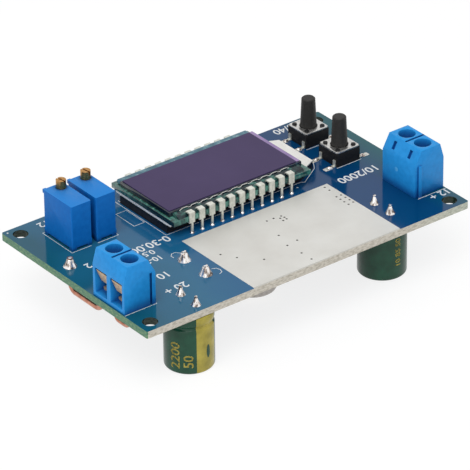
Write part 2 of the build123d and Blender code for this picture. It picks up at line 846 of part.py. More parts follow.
def chip_legs():
    legs = []
    for size, sides, place in chip_set():
        for angle, row in sides:
            legs += [on_board(place) * Rot(0, 0, angle) * leg for leg in chip_side(size, row)]
    return legs


def end_capped(size):
    # A chip resistor or capacitor with its two metal ends standing out a little
    length, width, height = size
    step = 2 * flush_clearance
    middle = length - 2 * end_cap_length
    body = Pos(0, 0, -height / 2) * Box(middle, width - step, height - step)
    for side in (-1, 1):
        x = side * (length - end_cap_length) / 2
        body += Pos(x, 0, -height / 2) * Box(end_cap_length, width, height)
    return body


def rows_of(size, rows):
    part = end_capped(size)
    return [on_board((x + i * dx, y + i * dy)) * part
            for (x, y), count, (dx, dy) in rows for i in range(count)]


# Solder
def solder_cone(x, y, z, lead_radius, height, upward):
    # A low cone of solder with flat facets round a lead
    base = RegularPolygon(lead_radius + solder_base, solder_sides)
    neck = Pos(0, 0, height) * RegularPolygon(lead_radius + lead_hole_clearance, solder_sides)
    cone = loft([base, neck]) - rod(0, 0, -cut_past, height + cut_past, lead_radius + flush_clearance)
    return Pos(x, y, z) * Rot(0 if upward else 180, 0, 0) * cone


def pin_joint(x, y, z, upward):
    # A small bead of solder round the flat leg of a display clip
    half_x = clip_leg_width / 2 + flush_clearance
    half_y = clip_thickness / 2 + flush_clearance
    base = RegularPolygon(half_x + pin_solder_base, solder_sides)
    neck = Pos(0, 0, pin_solder_height) * RegularPolygon(half_x + lead_hole_clearance, solder_sides)
    bead = loft([base, neck]) - box((-half_x, -half_y, -cut_past),
                                    (half_x, half_y, pin_solder_height + cut_past))
    return Pos(x, y, z) * Rot(0 if upward else 180, 0, 0) * bead


def solder_joints():
    joints = []
    hanging = capacitor_leads_at(output_capacitor_place) + capacitor_leads_at(input_capacitor_place)
    hanging += [(output_lead_x, y, coil_lead_radius) for y in output_lead_ys]
    hanging += [(shunt_x, y, shunt_radius) for y in shunt_ys]
    for x, y, radius in hanging:
        joints.append(solder_cone(x, y, board_top, radius, solder_height, True))
    for x, y in input_lead_places:
        joints.append(solder_cone(x, y, board_top, coil_lead_radius, low_solder_height, True))
    standing = terminal_pin_places(output_screw_x) + terminal_pin_places(input_screw_x)
    for x, y, radius in standing + trimmer_pins:
        joints.append(solder_cone(x, y, 0, radius, pin_solder_height, False))
    for x in lcd_pin_xs:
        for y in lcd_leg_ys:
            joints.append(pin_joint(x, y, board_top, True))
            joints.append(pin_joint(x, y, 0, False))
    return joints


# All nodes of the part, by name
def terminal_nodes(name, seat):
    nodes = {name + "_terminal_housing": seat * terminal_housing(),
             name + "_terminal_frames": [seat * terminal_frame(y) for y in way_middles]}
    for number, y in enumerate(way_middles, 1):
        nodes[f"{name}_leaf_{number}"] = seat * pressure_leaf(y)
        nodes[f"{name}_screw_{number}"] = seat * clamp_screw(y)
    return nodes


def trimmer_nodes(name, seat):
    return {name + "_trimmer_case": seat * trimmer_case(),
            name + "_trimmer_screw": seat * trimmer_screw()}


def display_nodes():
    lower = backlight_block(board_top, backlight_height)
    guide_low = board_top + backlight_height
    sheet_low = guide_low + light_guide_height
    upper_left = glass_left + glass_ledge_left
    film_left = upper_left + polariser_inset
    rear_length = lower_glass_length - 2 * rear_polariser_inset
    rear_width = lower_glass_width - 2 * (clip_lower_reach + clip_glass_gap)
    rows = [[clip_pin(x, side) for x in lcd_pin_xs] for side in (-1, 1)]
    return {"lcd_backlight": lower,
            "lcd_light_guide": backlight_block(guide_low, light_guide_height),
            "lcd_rear_polariser": lcd_sheet(glass_left + rear_polariser_inset, rear_length, rear_width,
                                            sheet_low, rear_polariser_thickness),
            "lcd_lower_glass": lcd_sheet(glass_left, lower_glass_length, lower_glass_width,
                                         lower_glass_bottom, glass_thickness),
            "lcd_upper_glass": lcd_sheet(upper_left, upper_glass_length, upper_glass_width, ledge_top,
                                         glass_thickness),
            "lcd_front_polariser": lcd_sheet(film_left, polariser_length, polariser_width,
                                             ledge_top + glass_thickness, polariser_thickness),
            "lcd_pins": rows[0] + rows[1],
            "lcd_glue_beads": [glue_bead(side, row) for side, row in zip((-1, 1), rows)]}


def button_nodes(name, seat):
    return {name + "_button_base": seat * button_base(),
            name + "_button_plate": seat * button_plate(),
            name + "_button_stem": seat * button_stem(),
            name + "_button_legs": [seat * leg for leg in button_legs()]}


def capacitor_nodes(name, place):
    seat = Pos(*place, -capacitor_gap)
    return {name + "_capacitor_sleeve": seat * capacitor_sleeve(),
            name + "_capacitor_can": seat * capacitor_can(),
            name + "_capacitor_bung": seat * capacitor_bung(),
            name + "_capacitor_leads": [seat * lead for lead in capacitor_leads()]}


def hanging_nodes():
    tall_tip = board_top + solder_height + lead_tip
    low_tip = board_top + low_solder_height + lead_tip
    output_leads = [(output_lead_x, y, tall_tip) for y in output_lead_ys]
    input_leads = [(x, y, low_tip) for x, y in input_lead_places]
    middle_seat = Pos(middle_capacitor_x, front_edge + middle_capacitor_from_front, 0)
    transistor_seat = Pos(transistor_x, front_edge + transistor_from_front, 0)
    diode_seat = on_board((diode_from_left, diode_from_front))
    return {"middle_capacitor_base": middle_seat * middle_capacitor_base(),
            "middle_capacitor_can": middle_seat * middle_capacitor_can(),
            "output_shunt": u_wire(shunt_x, shunt_ys, shunt_drop, shunt_bend, shunt_radius, tall_tip),
            "link_wire": u_wire(link_x, link_ys, link_drop, link_bend, link_radius,
                                board_top - link_end_below_top),
            "output_inductor_core": Pos(*output_coil, 0) * ring_core(),
            "output_inductor_winding": winding(output_coil, -90, output_leads),
            "input_inductor_core": Pos(*input_coil, 0) * ring_core(),
            "input_inductor_winding": winding(input_coil, 90, input_leads),
            "power_transistor": transistor_seat * power_part(transistor_size, transistor_leg_pitch),
            "power_diode": diode_seat * power_part(diode_size, diode_leg_pitch),
            "chip_bodies": chip_bodies(),
            "chip_legs": chip_legs(),
            "chip_resistors": rows_of(resistor_size, resistor_rows),
            "chip_ceramics": rows_of(ceramic_size, ceramic_rows)}


nodes = {"circuit_board": circuit_board(),
         "tinned_area": tinned_area(),
         "solder_joints": solder_joints()}
nodes.update(terminal_nodes("output", output_seat))
nodes.update(terminal_nodes("input", input_seat))
for trimmer_name, trimmer_seat in zip(("voltage", "current"), trimmer_seats):
    nodes.update(trimmer_nodes(trimmer_name, trimmer_seat))
nodes["trimmer_pins"] = [seat * pin for seat in trimmer_seats for pin in trimmer_pin_group()]
nodes.update(display_nodes())
for button_name, button_seat in zip(("switch", "mode"), button_seats):
    nodes.update(button_nodes(button_name, button_seat))
nodes["button_domes"] = [seat * button_dome() for seat in button_seats]
nodes.update(capacitor_nodes("output", output_capacitor_place))
nodes.update(capacitor_nodes("input", input_capacitor_place))
nodes.update(hanging_nodes())

os.makedirs("parts", exist_ok=True)
for node_name, shape in nodes.items():
    if isinstance(shape, list):
        shape = group(shape)
    export_step(shape, f"parts/{node_name}.step")
print(len(nodes), "nodes written")
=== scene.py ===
import json
import math
import bpy
from mathutils import Matrix, Vector


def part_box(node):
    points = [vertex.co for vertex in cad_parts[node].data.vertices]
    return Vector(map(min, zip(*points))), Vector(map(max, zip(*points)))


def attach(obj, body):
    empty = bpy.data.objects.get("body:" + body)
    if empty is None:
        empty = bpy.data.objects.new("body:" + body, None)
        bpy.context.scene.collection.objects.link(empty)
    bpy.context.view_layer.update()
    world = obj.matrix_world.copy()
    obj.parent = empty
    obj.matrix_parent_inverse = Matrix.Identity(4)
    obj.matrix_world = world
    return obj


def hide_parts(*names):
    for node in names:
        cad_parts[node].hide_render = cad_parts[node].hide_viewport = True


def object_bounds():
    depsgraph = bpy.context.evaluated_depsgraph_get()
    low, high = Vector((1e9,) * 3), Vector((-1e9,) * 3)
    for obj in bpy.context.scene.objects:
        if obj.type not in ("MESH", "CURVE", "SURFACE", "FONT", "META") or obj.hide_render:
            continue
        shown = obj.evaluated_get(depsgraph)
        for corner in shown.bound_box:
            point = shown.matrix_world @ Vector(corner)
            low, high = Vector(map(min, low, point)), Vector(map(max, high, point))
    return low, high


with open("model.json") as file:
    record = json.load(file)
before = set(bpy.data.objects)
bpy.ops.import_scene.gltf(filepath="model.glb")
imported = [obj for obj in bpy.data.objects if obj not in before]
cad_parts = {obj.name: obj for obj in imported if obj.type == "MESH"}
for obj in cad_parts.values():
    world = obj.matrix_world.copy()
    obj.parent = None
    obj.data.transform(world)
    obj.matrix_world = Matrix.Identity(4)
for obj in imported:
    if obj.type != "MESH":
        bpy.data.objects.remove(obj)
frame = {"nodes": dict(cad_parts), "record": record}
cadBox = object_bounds()
mm = 0.001
nodes = frame["nodes"]
bodies = frame["record"]["behaviour"]["bodies"]
bodyOf = {node: body for body, members in bodies.items() for node in members}
print("stage: frame loaded,", len(nodes), "nodes")


def cornersOf(node):
    # low and high corner of a node's box
    return [Vector(corner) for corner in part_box(node)]


# Places on the board are counted in mm from its left and front edges, as on a drawing
boardLow, boardHigh = cornersOf("circuit_board")


def onBoard(x, y, z=0.0):
    return Vector((boardLow.x + x * mm, boardLow.y + y * mm, boardHigh.z + z * mm))


def underBoard(x, y, z=0.0):
    return Vector((boardLow.x + x * mm, boardLow.y + y * mm, boardLow.z + z * mm))


def toLinear(code):
    # sRGB hex to the linear colour that a shader wants
    parts = [int(code[i:i + 2], 16) / 255 for i in (1, 3, 5)]
    return tuple(p / 12.92 if p <= 0.04045 else ((p + 0.055) / 1.055) ** 2.4 for p in parts) + (1.0,)


def perSize(sizeInMm):
    # texture scale that gives a pattern of this size
    return 1000.0 / sizeInMm


def setStops(points, stops):
    # colour ramp stops as (position, hex)
    while len(points) < len(stops):
        points.new(0.5)
    for point, (position, code) in zip(points, stops):
        point.position = position
        point.color = toLinear(code)


def addNode(tree, kind, settings=None, takes=None, gives=None):
    # one node: its settings, what its inputs take as (node, output) and its outputs give as (node, input).
    # A mix of two colours has its factor at input 0, the colours at 6 and 7 and the result at output 2
    node = tree.nodes.new(kind)
    for name, value in (settings or {}).items():
        if name == "stops":
            setStops(node.color_ramp.elements, value)
        elif isinstance(name, str) and hasattr(node, name):
            setattr(node, name, value)
        else:
            node.inputs[name].default_value = value
    for socket, (source, output) in (takes or {}).items():
        tree.links.new(source.outputs[output], node.inputs[socket])
    for output, (target, socket) in (gives or {}).items():
        tree.links.new(node.outputs[output], target.inputs[socket])
    return node


def emptyTree(holder):
    # node tree of a material or a world, cleared
    holder.use_nodes = True
    holder.node_tree.nodes.clear()
    return holder.node_tree


materials = {}


def startMaterial(name, look):
    # a Principled material with uniform values set straight on its sockets
    materials[name] = bpy.data.materials.new(name)
    tree = emptyTree(materials[name])
    shader = addNode(tree, "ShaderNodeBsdfPrincipled", look)
    addNode(tree, "ShaderNodeOutputMaterial", {}, {"Surface": (shader, "BSDF")})
    place = addNode(tree, "ShaderNodeTexCoord")
    return tree, shader, place


def roughen(tree, shader, pattern, roughRange, heightInMm, strength=1.0):
    # the pattern shows in the gloss and in the height
    addNode(tree, "ShaderNodeMapRange", {"To Min": roughRange[0], "To Max": roughRange[1]},
            {"Value": (pattern, "Fac")}, {"Result": (shader, "Roughness")})
    addNode(tree, "ShaderNodeBump", {"Strength": strength, "Distance": heightInMm * mm},
            {"Height": (pattern, "Fac")}, {"Normal": (shader, "Normal")})


def beyond(tree, source, axis, limit):
    # 1 where a place or a normal reaches past the limit along an axis, either way
    reach = addNode(tree, "ShaderNodeMath", {"operation": "ABSOLUTE"}, {0: (source, axis)})
    return addNode(tree, "ShaderNodeMath", {"operation": "GREATER_THAN", 1: limit}, {0: (reach, 0)})


def surfaceOf(name, look, darkLight, grainInMm, bumpInMm, roughRange):
    # moulded, sheet or drawn surface: a fine grain in colour, gloss and height
    tree, shader, place = startMaterial(name, look)
    grain = addNode(tree, "ShaderNodeTexNoise", {"Scale": perSize(grainInMm), "Detail": 4.0},
                    {"Vector": (place, "Object")})
    addNode(tree, "ShaderNodeValToRGB", {"stops": [(0.3, darkLight[0]), (0.7, darkLight[1])]},
            {"Fac": (grain, "Fac")}, {"Color": (shader, "Base Color")})
    roughen(tree, shader, grain, roughRange, bumpInMm)


# Finishes
maskLook = {"shine": 0.22, "cloudInMm": 16.0, "cloudShare": 0.3, "weaveInMm": 1.6, "weaveHeightInMm": 0.004,
            "blues": [(0.14, "#11566b"), (0.34, "#22678a"), (0.55, "#0c568a"), (0.95, "#023f6e")],
            "teal": "#12625f", "tealFrom": 0.92, "tealTo": 1.03, "tealShare": 0.7, "tealLean": 0.06,
            "fibreInMm": 1.1, "fibreStretch": (1.4, 1.4, 3.0), "edgeBandInMm": 0.6,
            "longEdge": [(0.35, "#b3ada0"), (0.5, "#cbc5b8"), (0.7, "#dcd6ca")],
            "greenEdge": [(0.35, "#8fa596"), (0.5, "#a9bcab"), (0.7, "#c4d2c1")],
            "greenFrom": 0.8, "greenShare": 0.55,
            "shortEdge": [(0.35, "#47775f"), (0.52, "#5b8568"), (0.7, "#7d9a72")],
            "hole": [(0.35, "#18241f"), (0.7, "#39483d")], "bareTin": "#c9c8c1", "bareStripInMm": 0.1}


def makeSolderMask():
    # liquid solder mask, screened and cured over copper: mirror-like blue, lighter towards the output end by a
    # painted reflection.
    # The laminate's cut edges show glass fibre layers, beige along the length and green across it
    tree, shader, place = startMaterial("solderMaskOnLaminate", {"Roughness": 0.1, "IOR": 1.52,
                                                                 "Specular IOR Level": maskLook["shine"]})
    spot = addNode(tree, "ShaderNodeSeparateXYZ", {}, {"Vector": (place, "Object")})
    facing = addNode(tree, "ShaderNodeSeparateXYZ", {}, {"Vector": (place, "Normal")})
    along = addNode(tree, "ShaderNodeMapRange", {"From Min": boardLow.x, "From Max": boardHigh.x},
                    {"Value": (spot, "X")})
    across = addNode(tree, "ShaderNodeMapRange", {"From Min": boardLow.y, "From Max": boardHigh.y},
                     {"Value": (spot, "Y")})
    # a cloudy blue, lighter towards the output end as a painted reflection; the mask turns teal at the input
    # end
    cloud = addNode(tree, "ShaderNodeTexNoise", {"Scale": perSize(maskLook["cloudInMm"]), "Detail": 2.0},
                    {"Vector": (place, "Object")})
    cloudAndPaintedSheen = addNode(tree, "ShaderNodeMath", {"operation": "MULTIPLY_ADD", 1: maskLook["cloudShare"]},
                    {0: (cloud, "Fac"), 2: (along, "Result")})
    blue = addNode(tree, "ShaderNodeValToRGB", {"stops": maskLook["blues"]}, {"Fac": (cloudAndPaintedSheen, 0)})
    corner = addNode(tree, "ShaderNodeMath", {"operation": "MULTIPLY_ADD", 1: maskLook["tealLean"]},
                     {0: (across, "Result"), 2: (along, "Result")})
    cornerPart = addNode(tree, "ShaderNodeMapRange",
                         {"From Min": maskLook["tealFrom"], "From Max": maskLook["tealTo"],
                          "To Max": maskLook["tealShare"]}, {"Value": (corner, 0)})
    mask = addNode(tree, "ShaderNodeMix", {"data_type": "RGBA", 7: toLinear(maskLook["teal"])},
                   {0: (cornerPart, "Result"), 6: (blue, "Color")})
    # the cut edges and the walls of the holes, these darkened with painted shade
    layers = addNode(tree, "ShaderNodeMapping", {"Scale": maskLook["fibreStretch"]},
                     {"Vector": (place, "Object")})
    fibre = addNode(tree, "ShaderNodeTexNoise", {"Scale": perSize(maskLook["fibreInMm"]), "Detail": 6.0},
                    {"Vector": (layers, "Vector")})
    longEdge, greenEdge, shortEdge, hole = (
        addNode(tree, "ShaderNodeValToRGB", {"stops": maskLook[part]}, {"Fac": (fibre, "Fac")})
        for part in ("longEdge", "greenEdge", "shortEdge", "hole"))
    greenPart = addNode(tree, "ShaderNodeMapRange",
                        {"From Min": maskLook["greenFrom"], "To Max": maskLook["greenShare"]},
                        {"Value": (along, "Result")})
    fading = addNode(tree, "ShaderNodeMix", {"data_type": "RGBA"},
                     {0: (greenPart, "Result"), 6: (longEdge, "Color"), 7: (greenEdge, "Color")})
    endwise = beyond(tree, facing, "X", 0.5)
    rim = addNode(tree, "ShaderNodeMix", {"data_type": "RGBA"},
                  {0: (endwise, 0), 6: (fading, 2), 7: (shortEdge, "Color")})
    atEnd, atSide = (beyond(tree, spot, axis, reach - maskLook["edgeBandInMm"] * mm)
                     for axis, reach in (("X", boardHigh.x), ("Y", boardHigh.y)))
    atEdge = addNode(tree, "ShaderNodeMath", {"operation": "MAXIMUM"}, {0: (atEnd, 0), 1: (atSide, 0)})
    # painted shade: walls away from the board's edges take the dark hole colours
    walls = addNode(tree, "ShaderNodeMix", {"data_type": "RGBA"},
                    {0: (atEdge, 0), 6: (hole, "Color"), 7: (rim, 2)})
    flat = beyond(tree, facing, "Z", 0.5)
    faces = addNode(tree, "ShaderNodeMix", {"data_type": "RGBA"}, {0: (flat, 0), 6: (walls, 2), 7: (mask, 2)})
    # the tin runs on to the cut edge, where the mask leaves a strip of it bare
    tinLow, tinHigh = cornersOf("tinned_area")
    bare = addNode(tree, "ShaderNodeMath", {"operation": "GREATER_THAN", 1: 0.5}, {0: (facing, "Z")})
    for axis, operation, limit in (("X", "GREATER_THAN", tinLow.x), ("X", "LESS_THAN", tinHigh.x),
                                   ("Y", "LESS_THAN", tinLow.y + maskLook["bareStripInMm"] * mm)):
        test = addNode(tree, "ShaderNodeMath", {"operation": operation, 1: limit}, {0: (spot, axis)})
        bare = addNode(tree, "ShaderNodeMath", {"operation": "MULTIPLY"}, {0: (bare, 0), 1: (test, 0)})
    addNode(tree, "ShaderNodeMix", {"data_type": "RGBA", 7: toLinear(maskLook["bareTin"])},
            {0: (bare, 0), 6: (faces, 2)}, {2: (shader, "Base Color")})
    weave = addNode(tree, "ShaderNodeTexNoise", {"Scale": perSize(maskLook["weaveInMm"]), "Detail": 2.0},
                    {"Vector": (place, "Object")})
    addNode(tree, "ShaderNodeBump", {"Strength": 0.5, "Distance": maskLook["weaveHeightInMm"] * mm},
            {"Height": (weave, "Fac")}, {"Normal": (shader, "Normal")})


tinLook = {"tones": [(0.3, "#d6d4ce"), (0.7, "#e0dfda")], "waveInMm": 7.0, "wipeInMm": 3.0,
           "wipeStretch": (1.0, 9.0, 1.0), "wipeHeightInMm": 0.012}


def makeTinSheet():
    # hot-air levelled tin over copper: pale, faintly wavy, with fine wipe marks
    tree, shader, place = startMaterial("levelledTin", {"Metallic": 0.25, "Roughness": 0.46})
    wave = addNode(tree, "ShaderNodeTexNoise", {"Scale": perSize(tinLook["waveInMm"]), "Detail": 3.0},
                   {"Vector": (place, "Object")})
    addNode(tree, "ShaderNodeValToRGB", {"stops": tinLook["tones"]}, {"Fac": (wave, "Fac")},
            {"Color": (shader, "Base Color")})
    wipe = addNode(tree, "ShaderNodeMapping", {"Scale": tinLook["wipeStretch"]},
                   {"Vector": (place, "Object")})
    lines = addNode(tree, "ShaderNodeTexNoise", {"Scale": perSize(tinLook["wipeInMm"]), "Detail": 6.0},
                    {"Vector": (wipe, "Vector")})
    addNode(tree, "ShaderNodeBump", {"Strength": 0.7, "Distance": tinLook["wipeHeightInMm"] * mm},
            {"Height": (lines, "Fac")}, {"Normal": (shader, "Normal")})


sleeveLook = {"film": [(0.3, "#0d3e2b"), (0.7, "#19513b")], "stripe": [(0.3, "#938834"), (0.7, "#b9aa4b")],
              "stripeHalf": 29.5, "fadeInMm": 2.5, "fadeHeightInMm": 0.02}


def makeSleeveFilm(name, node, stripeAngle):
    # shrink sleeve of a capacitor: dark green film with a gold printed stripe
    tree, shader, place = startMaterial(name, {"Roughness": 0.26, "Specular IOR Level": 0.3,
                                               "Coat Weight": 0.1, "Coat Roughness": 0.12})
    low, high = cornersOf(node)
    # the stripe is turned to +X so that it never meets the seam of the angle
    turned = addNode(tree, "ShaderNodeMapping", {"vector_type": "TEXTURE", "Location": (low + high) / 2,
                                                 "Rotation": (0, 0, math.radians(stripeAngle))},
                     {"Vector": (place, "Object")})
    spot = addNode(tree, "ShaderNodeSeparateXYZ", {}, {"Vector": (turned, "Vector")})
    angle = addNode(tree, "ShaderNodeMath", {"operation": "ARCTAN2"}, {0: (spot, "Y"), 1: (spot, "X")})
    away = addNode(tree, "ShaderNodeMath", {"operation": "ABSOLUTE"}, {0: (angle, 0)})
    inStripe = addNode(tree, "ShaderNodeMath",
                       {"operation": "LESS_THAN", 1: math.radians(sleeveLook["stripeHalf"])}, {0: (away, 0)})
    fade = addNode(tree, "ShaderNodeTexNoise", {"Scale": perSize(sleeveLook["fadeInMm"]), "Detail": 4.0},
                   {"Vector": (place, "Object")})
    film, gold = (addNode(tree, "ShaderNodeValToRGB", {"stops": sleeveLook[part]}, {"Fac": (fade, "Fac")})
                  for part in ("film", "stripe"))
    addNode(tree, "ShaderNodeMix", {"data_type": "RGBA"},
            {0: (inStripe, 0), 6: (film, "Color"), 7: (gold, "Color")}, {2: (shader, "Base Color")})
    addNode(tree, "ShaderNodeBump", {"Strength": 0.4, "Distance": sleeveLook["fadeHeightInMm"] * mm},
            {"Height": (fade, "Fac")}, {"Normal": (shader, "Normal")})


mouldLook = {"grainInMm": 1.0, "grainHeightInMm": 0.012, "rough": (0.36, 0.48),
             "upturned": {"From Min": 0.4, "From Max": 0.95}, "open": {"From Min": 0.4, "From Max": 0.85}}


def mouldedPolymer(name, look, darkLight, topLight, recess, reachInMm):
    # moulded case: a fine grain, painted light that makes the faces turned up lighter, and painted shade that
    # deepens the colour in wells and slots
    tree, shader, place = startMaterial(name, look)
    grain = addNode(tree, "ShaderNodeTexNoise", {"Scale": perSize(mouldLook["grainInMm"]), "Detail": 4.0},
                    {"Vector": (place, "Object")})
    skin = addNode(tree, "ShaderNodeValToRGB", {"stops": [(0.3, darkLight[0]), (0.7, darkLight[1])]},
                   {"Fac": (grain, "Fac")})
    facing = addNode(tree, "ShaderNodeSeparateXYZ", {}, {"Vector": (place, "Normal")})
    # painted light: faces turned up are mixed towards the lighter top colour
    upward = addNode(tree, "ShaderNodeMapRange", mouldLook["upturned"], {"Value": (facing, "Z")})
    paintedTopLight = addNode(tree, "ShaderNodeMix", {"data_type": "RGBA", 7: toLinear(topLight)},
                    {0: (upward, "Result"), 6: (skin, "Color")})
    # painted shade: ambient occlusion mixes the colour towards the recess colour in wells and slots
    nearness = addNode(tree, "ShaderNodeAmbientOcclusion", {"samples": 8, "Distance": reachInMm * mm})
    openness = addNode(tree, "ShaderNodeMapRange", mouldLook["open"], {"Value": (nearness, "AO")})
    addNode(tree, "ShaderNodeMix", {"data_type": "RGBA", 6: toLinear(recess)},
            {0: (openness, "Result"), 7: (paintedTopLight, 2)}, {2: (shader, "Base Color")})
    roughen(tree, shader, grain, mouldLook["rough"], mouldLook["grainHeightInMm"])


glassLook = {"streakInMm": 1.1, "streakStretch": (1.0, 1.0, 0.3), "darkenOverInMm": 14.0,
             "rough": {"To Min": 0.05, "To Max": 0.14}}


def makeGlass(name, stops, paintedEndShade):
    # soda-lime display glass, sealed at the rim: what shows through its cut edge runs in upright streaks, and
    # along the left end painted shade darkens it to the front
    tree, shader, place = startMaterial(name, {"IOR": 1.52, "Specular IOR Level": 0.6})
    upright = addNode(tree, "ShaderNodeMapping", {"Scale": glassLook["streakStretch"]},
                      {"Vector": (place, "Object")})
    streaks = addNode(tree, "ShaderNodeTexNoise",
                      {"Scale": perSize(glassLook["streakInMm"]), "Detail": 4.0, "Roughness": 0.65},
                      {"Vector": (upright, "Vector")})
    tint = addNode(tree, "ShaderNodeValToRGB", {"stops": stops}, {"Fac": (streaks, "Fac")})
    facing = addNode(tree, "ShaderNodeSeparateXYZ", {}, {"Vector": (place, "Normal")})
    spot = addNode(tree, "ShaderNodeSeparateXYZ", {}, {"Vector": (place, "Object")})
    # painted shade: faces turned to the left darken towards the front
    leftward = addNode(tree, "ShaderNodeMath", {"operation": "LESS_THAN", 1: -0.5}, {0: (facing, "X")})
    back = cornersOf("lcd_lower_glass")[1].y
    forward = addNode(tree, "ShaderNodeMapRange",
                      {"From Min": back, "From Max": back - glassLook["darkenOverInMm"] * mm},
                      {"Value": (spot, "Y")})
    share = addNode(tree, "ShaderNodeMath", {"operation": "MULTIPLY"},
                    {0: (leftward, 0), 1: (forward, "Result")})
    addNode(tree, "ShaderNodeMix", {"data_type": "RGBA", 7: toLinear(paintedEndShade)},
            {0: (share, 0), 6: (tint, "Color")}, {2: (shader, "Base Color")})
    addNode(tree, "ShaderNodeMapRange", glassLook["rough"], {"Value": (streaks, "Fac")},
            {"Result": (shader, "Roughness")})


glueLook = {"front": [(0.35, "#0d1c24"), (0.5, "#1b3338"), (0.62, "#35665e"), (0.8, "#7fb3a6")],
            "back": [(0.35, "#2f5f72"), (0.55, "#47788a"), (0.75, "#8fb3b8")],
            "rippleInMm": 1.3, "rippleHeightInMm": 0.06, "rough": (0.04, 0.12)}


def makeGlue():
    # clear room-temperature silicone over the clips: near black against the dark glass in front, and
    # blue-green behind the display, where it carries daylight
    tree, shader, place = startMaterial("clearSilicone", {"IOR": 1.43, "Specular IOR Level": 0.5})
    spot = addNode(tree, "ShaderNodeSeparateXYZ", {}, {"Vector": (place, "Object")})
    ripple = addNode(tree, "ShaderNodeTexNoise", {"Scale": perSize(glueLook["rippleInMm"]), "Detail": 3.0},
                     {"Vector": (place, "Object")})
    front, back = (addNode(tree, "ShaderNodeValToRGB", {"stops": glueLook[part]}, {"Fac": (ripple, "Fac")})
                   for part in ("front", "back"))
    low, high = cornersOf("lcd_lower_glass")
    behind = addNode(tree, "ShaderNodeMath", {"operation": "GREATER_THAN", 1: (low.y + high.y) / 2},
                     {0: (spot, "Y")})
    addNode(tree, "ShaderNodeMix", {"data_type": "RGBA"},
            {0: (behind, 0), 6: (front, "Color"), 7: (back, "Color")}, {2: (shader, "Base Color")})
    roughen(tree, shader, ripple, glueLook["rough"], glueLook["rippleHeightInMm"], 0.5)


solderLook = {"tones": [(0.38, "#6d5f57"), (0.45, "#b3a9a2"), (0.52, "#f0ebe7"), (0.8, "#ffffff")],
              "streakInMm": 0.55, "streakStretch": (1.0, 1.0, 0.18), "streakHeightInMm": 0.08,
              "rough": (0.34, 0.12)}


def makeSolder():
    # wave solder that froze in upright ridges: mirror bright, with dark and white upright streaks painted in
    # as reflections
    tree, shader, place = startMaterial("frozenSolder", {"Metallic": 0.9})
    upright = addNode(tree, "ShaderNodeMapping", {"Scale": solderLook["streakStretch"]},
                      {"Vector": (place, "Object")})
    streaks = addNode(tree, "ShaderNodeTexNoise",
                      {"Scale": perSize(solderLook["streakInMm"]), "Detail": 3.0, "Roughness": 0.6},
                      {"Vector": (upright, "Vector")})
    # painted reflections: dark and white streaks in the base colour
    addNode(tree, "ShaderNodeValToRGB", {"stops": solderLook["tones"]}, {"Fac": (streaks, "Fac")},
            {"Color": (shader, "Base Color")})
    roughen(tree, shader, streaks, solderLook["rough"], solderLook["streakHeightInMm"], 0.8)


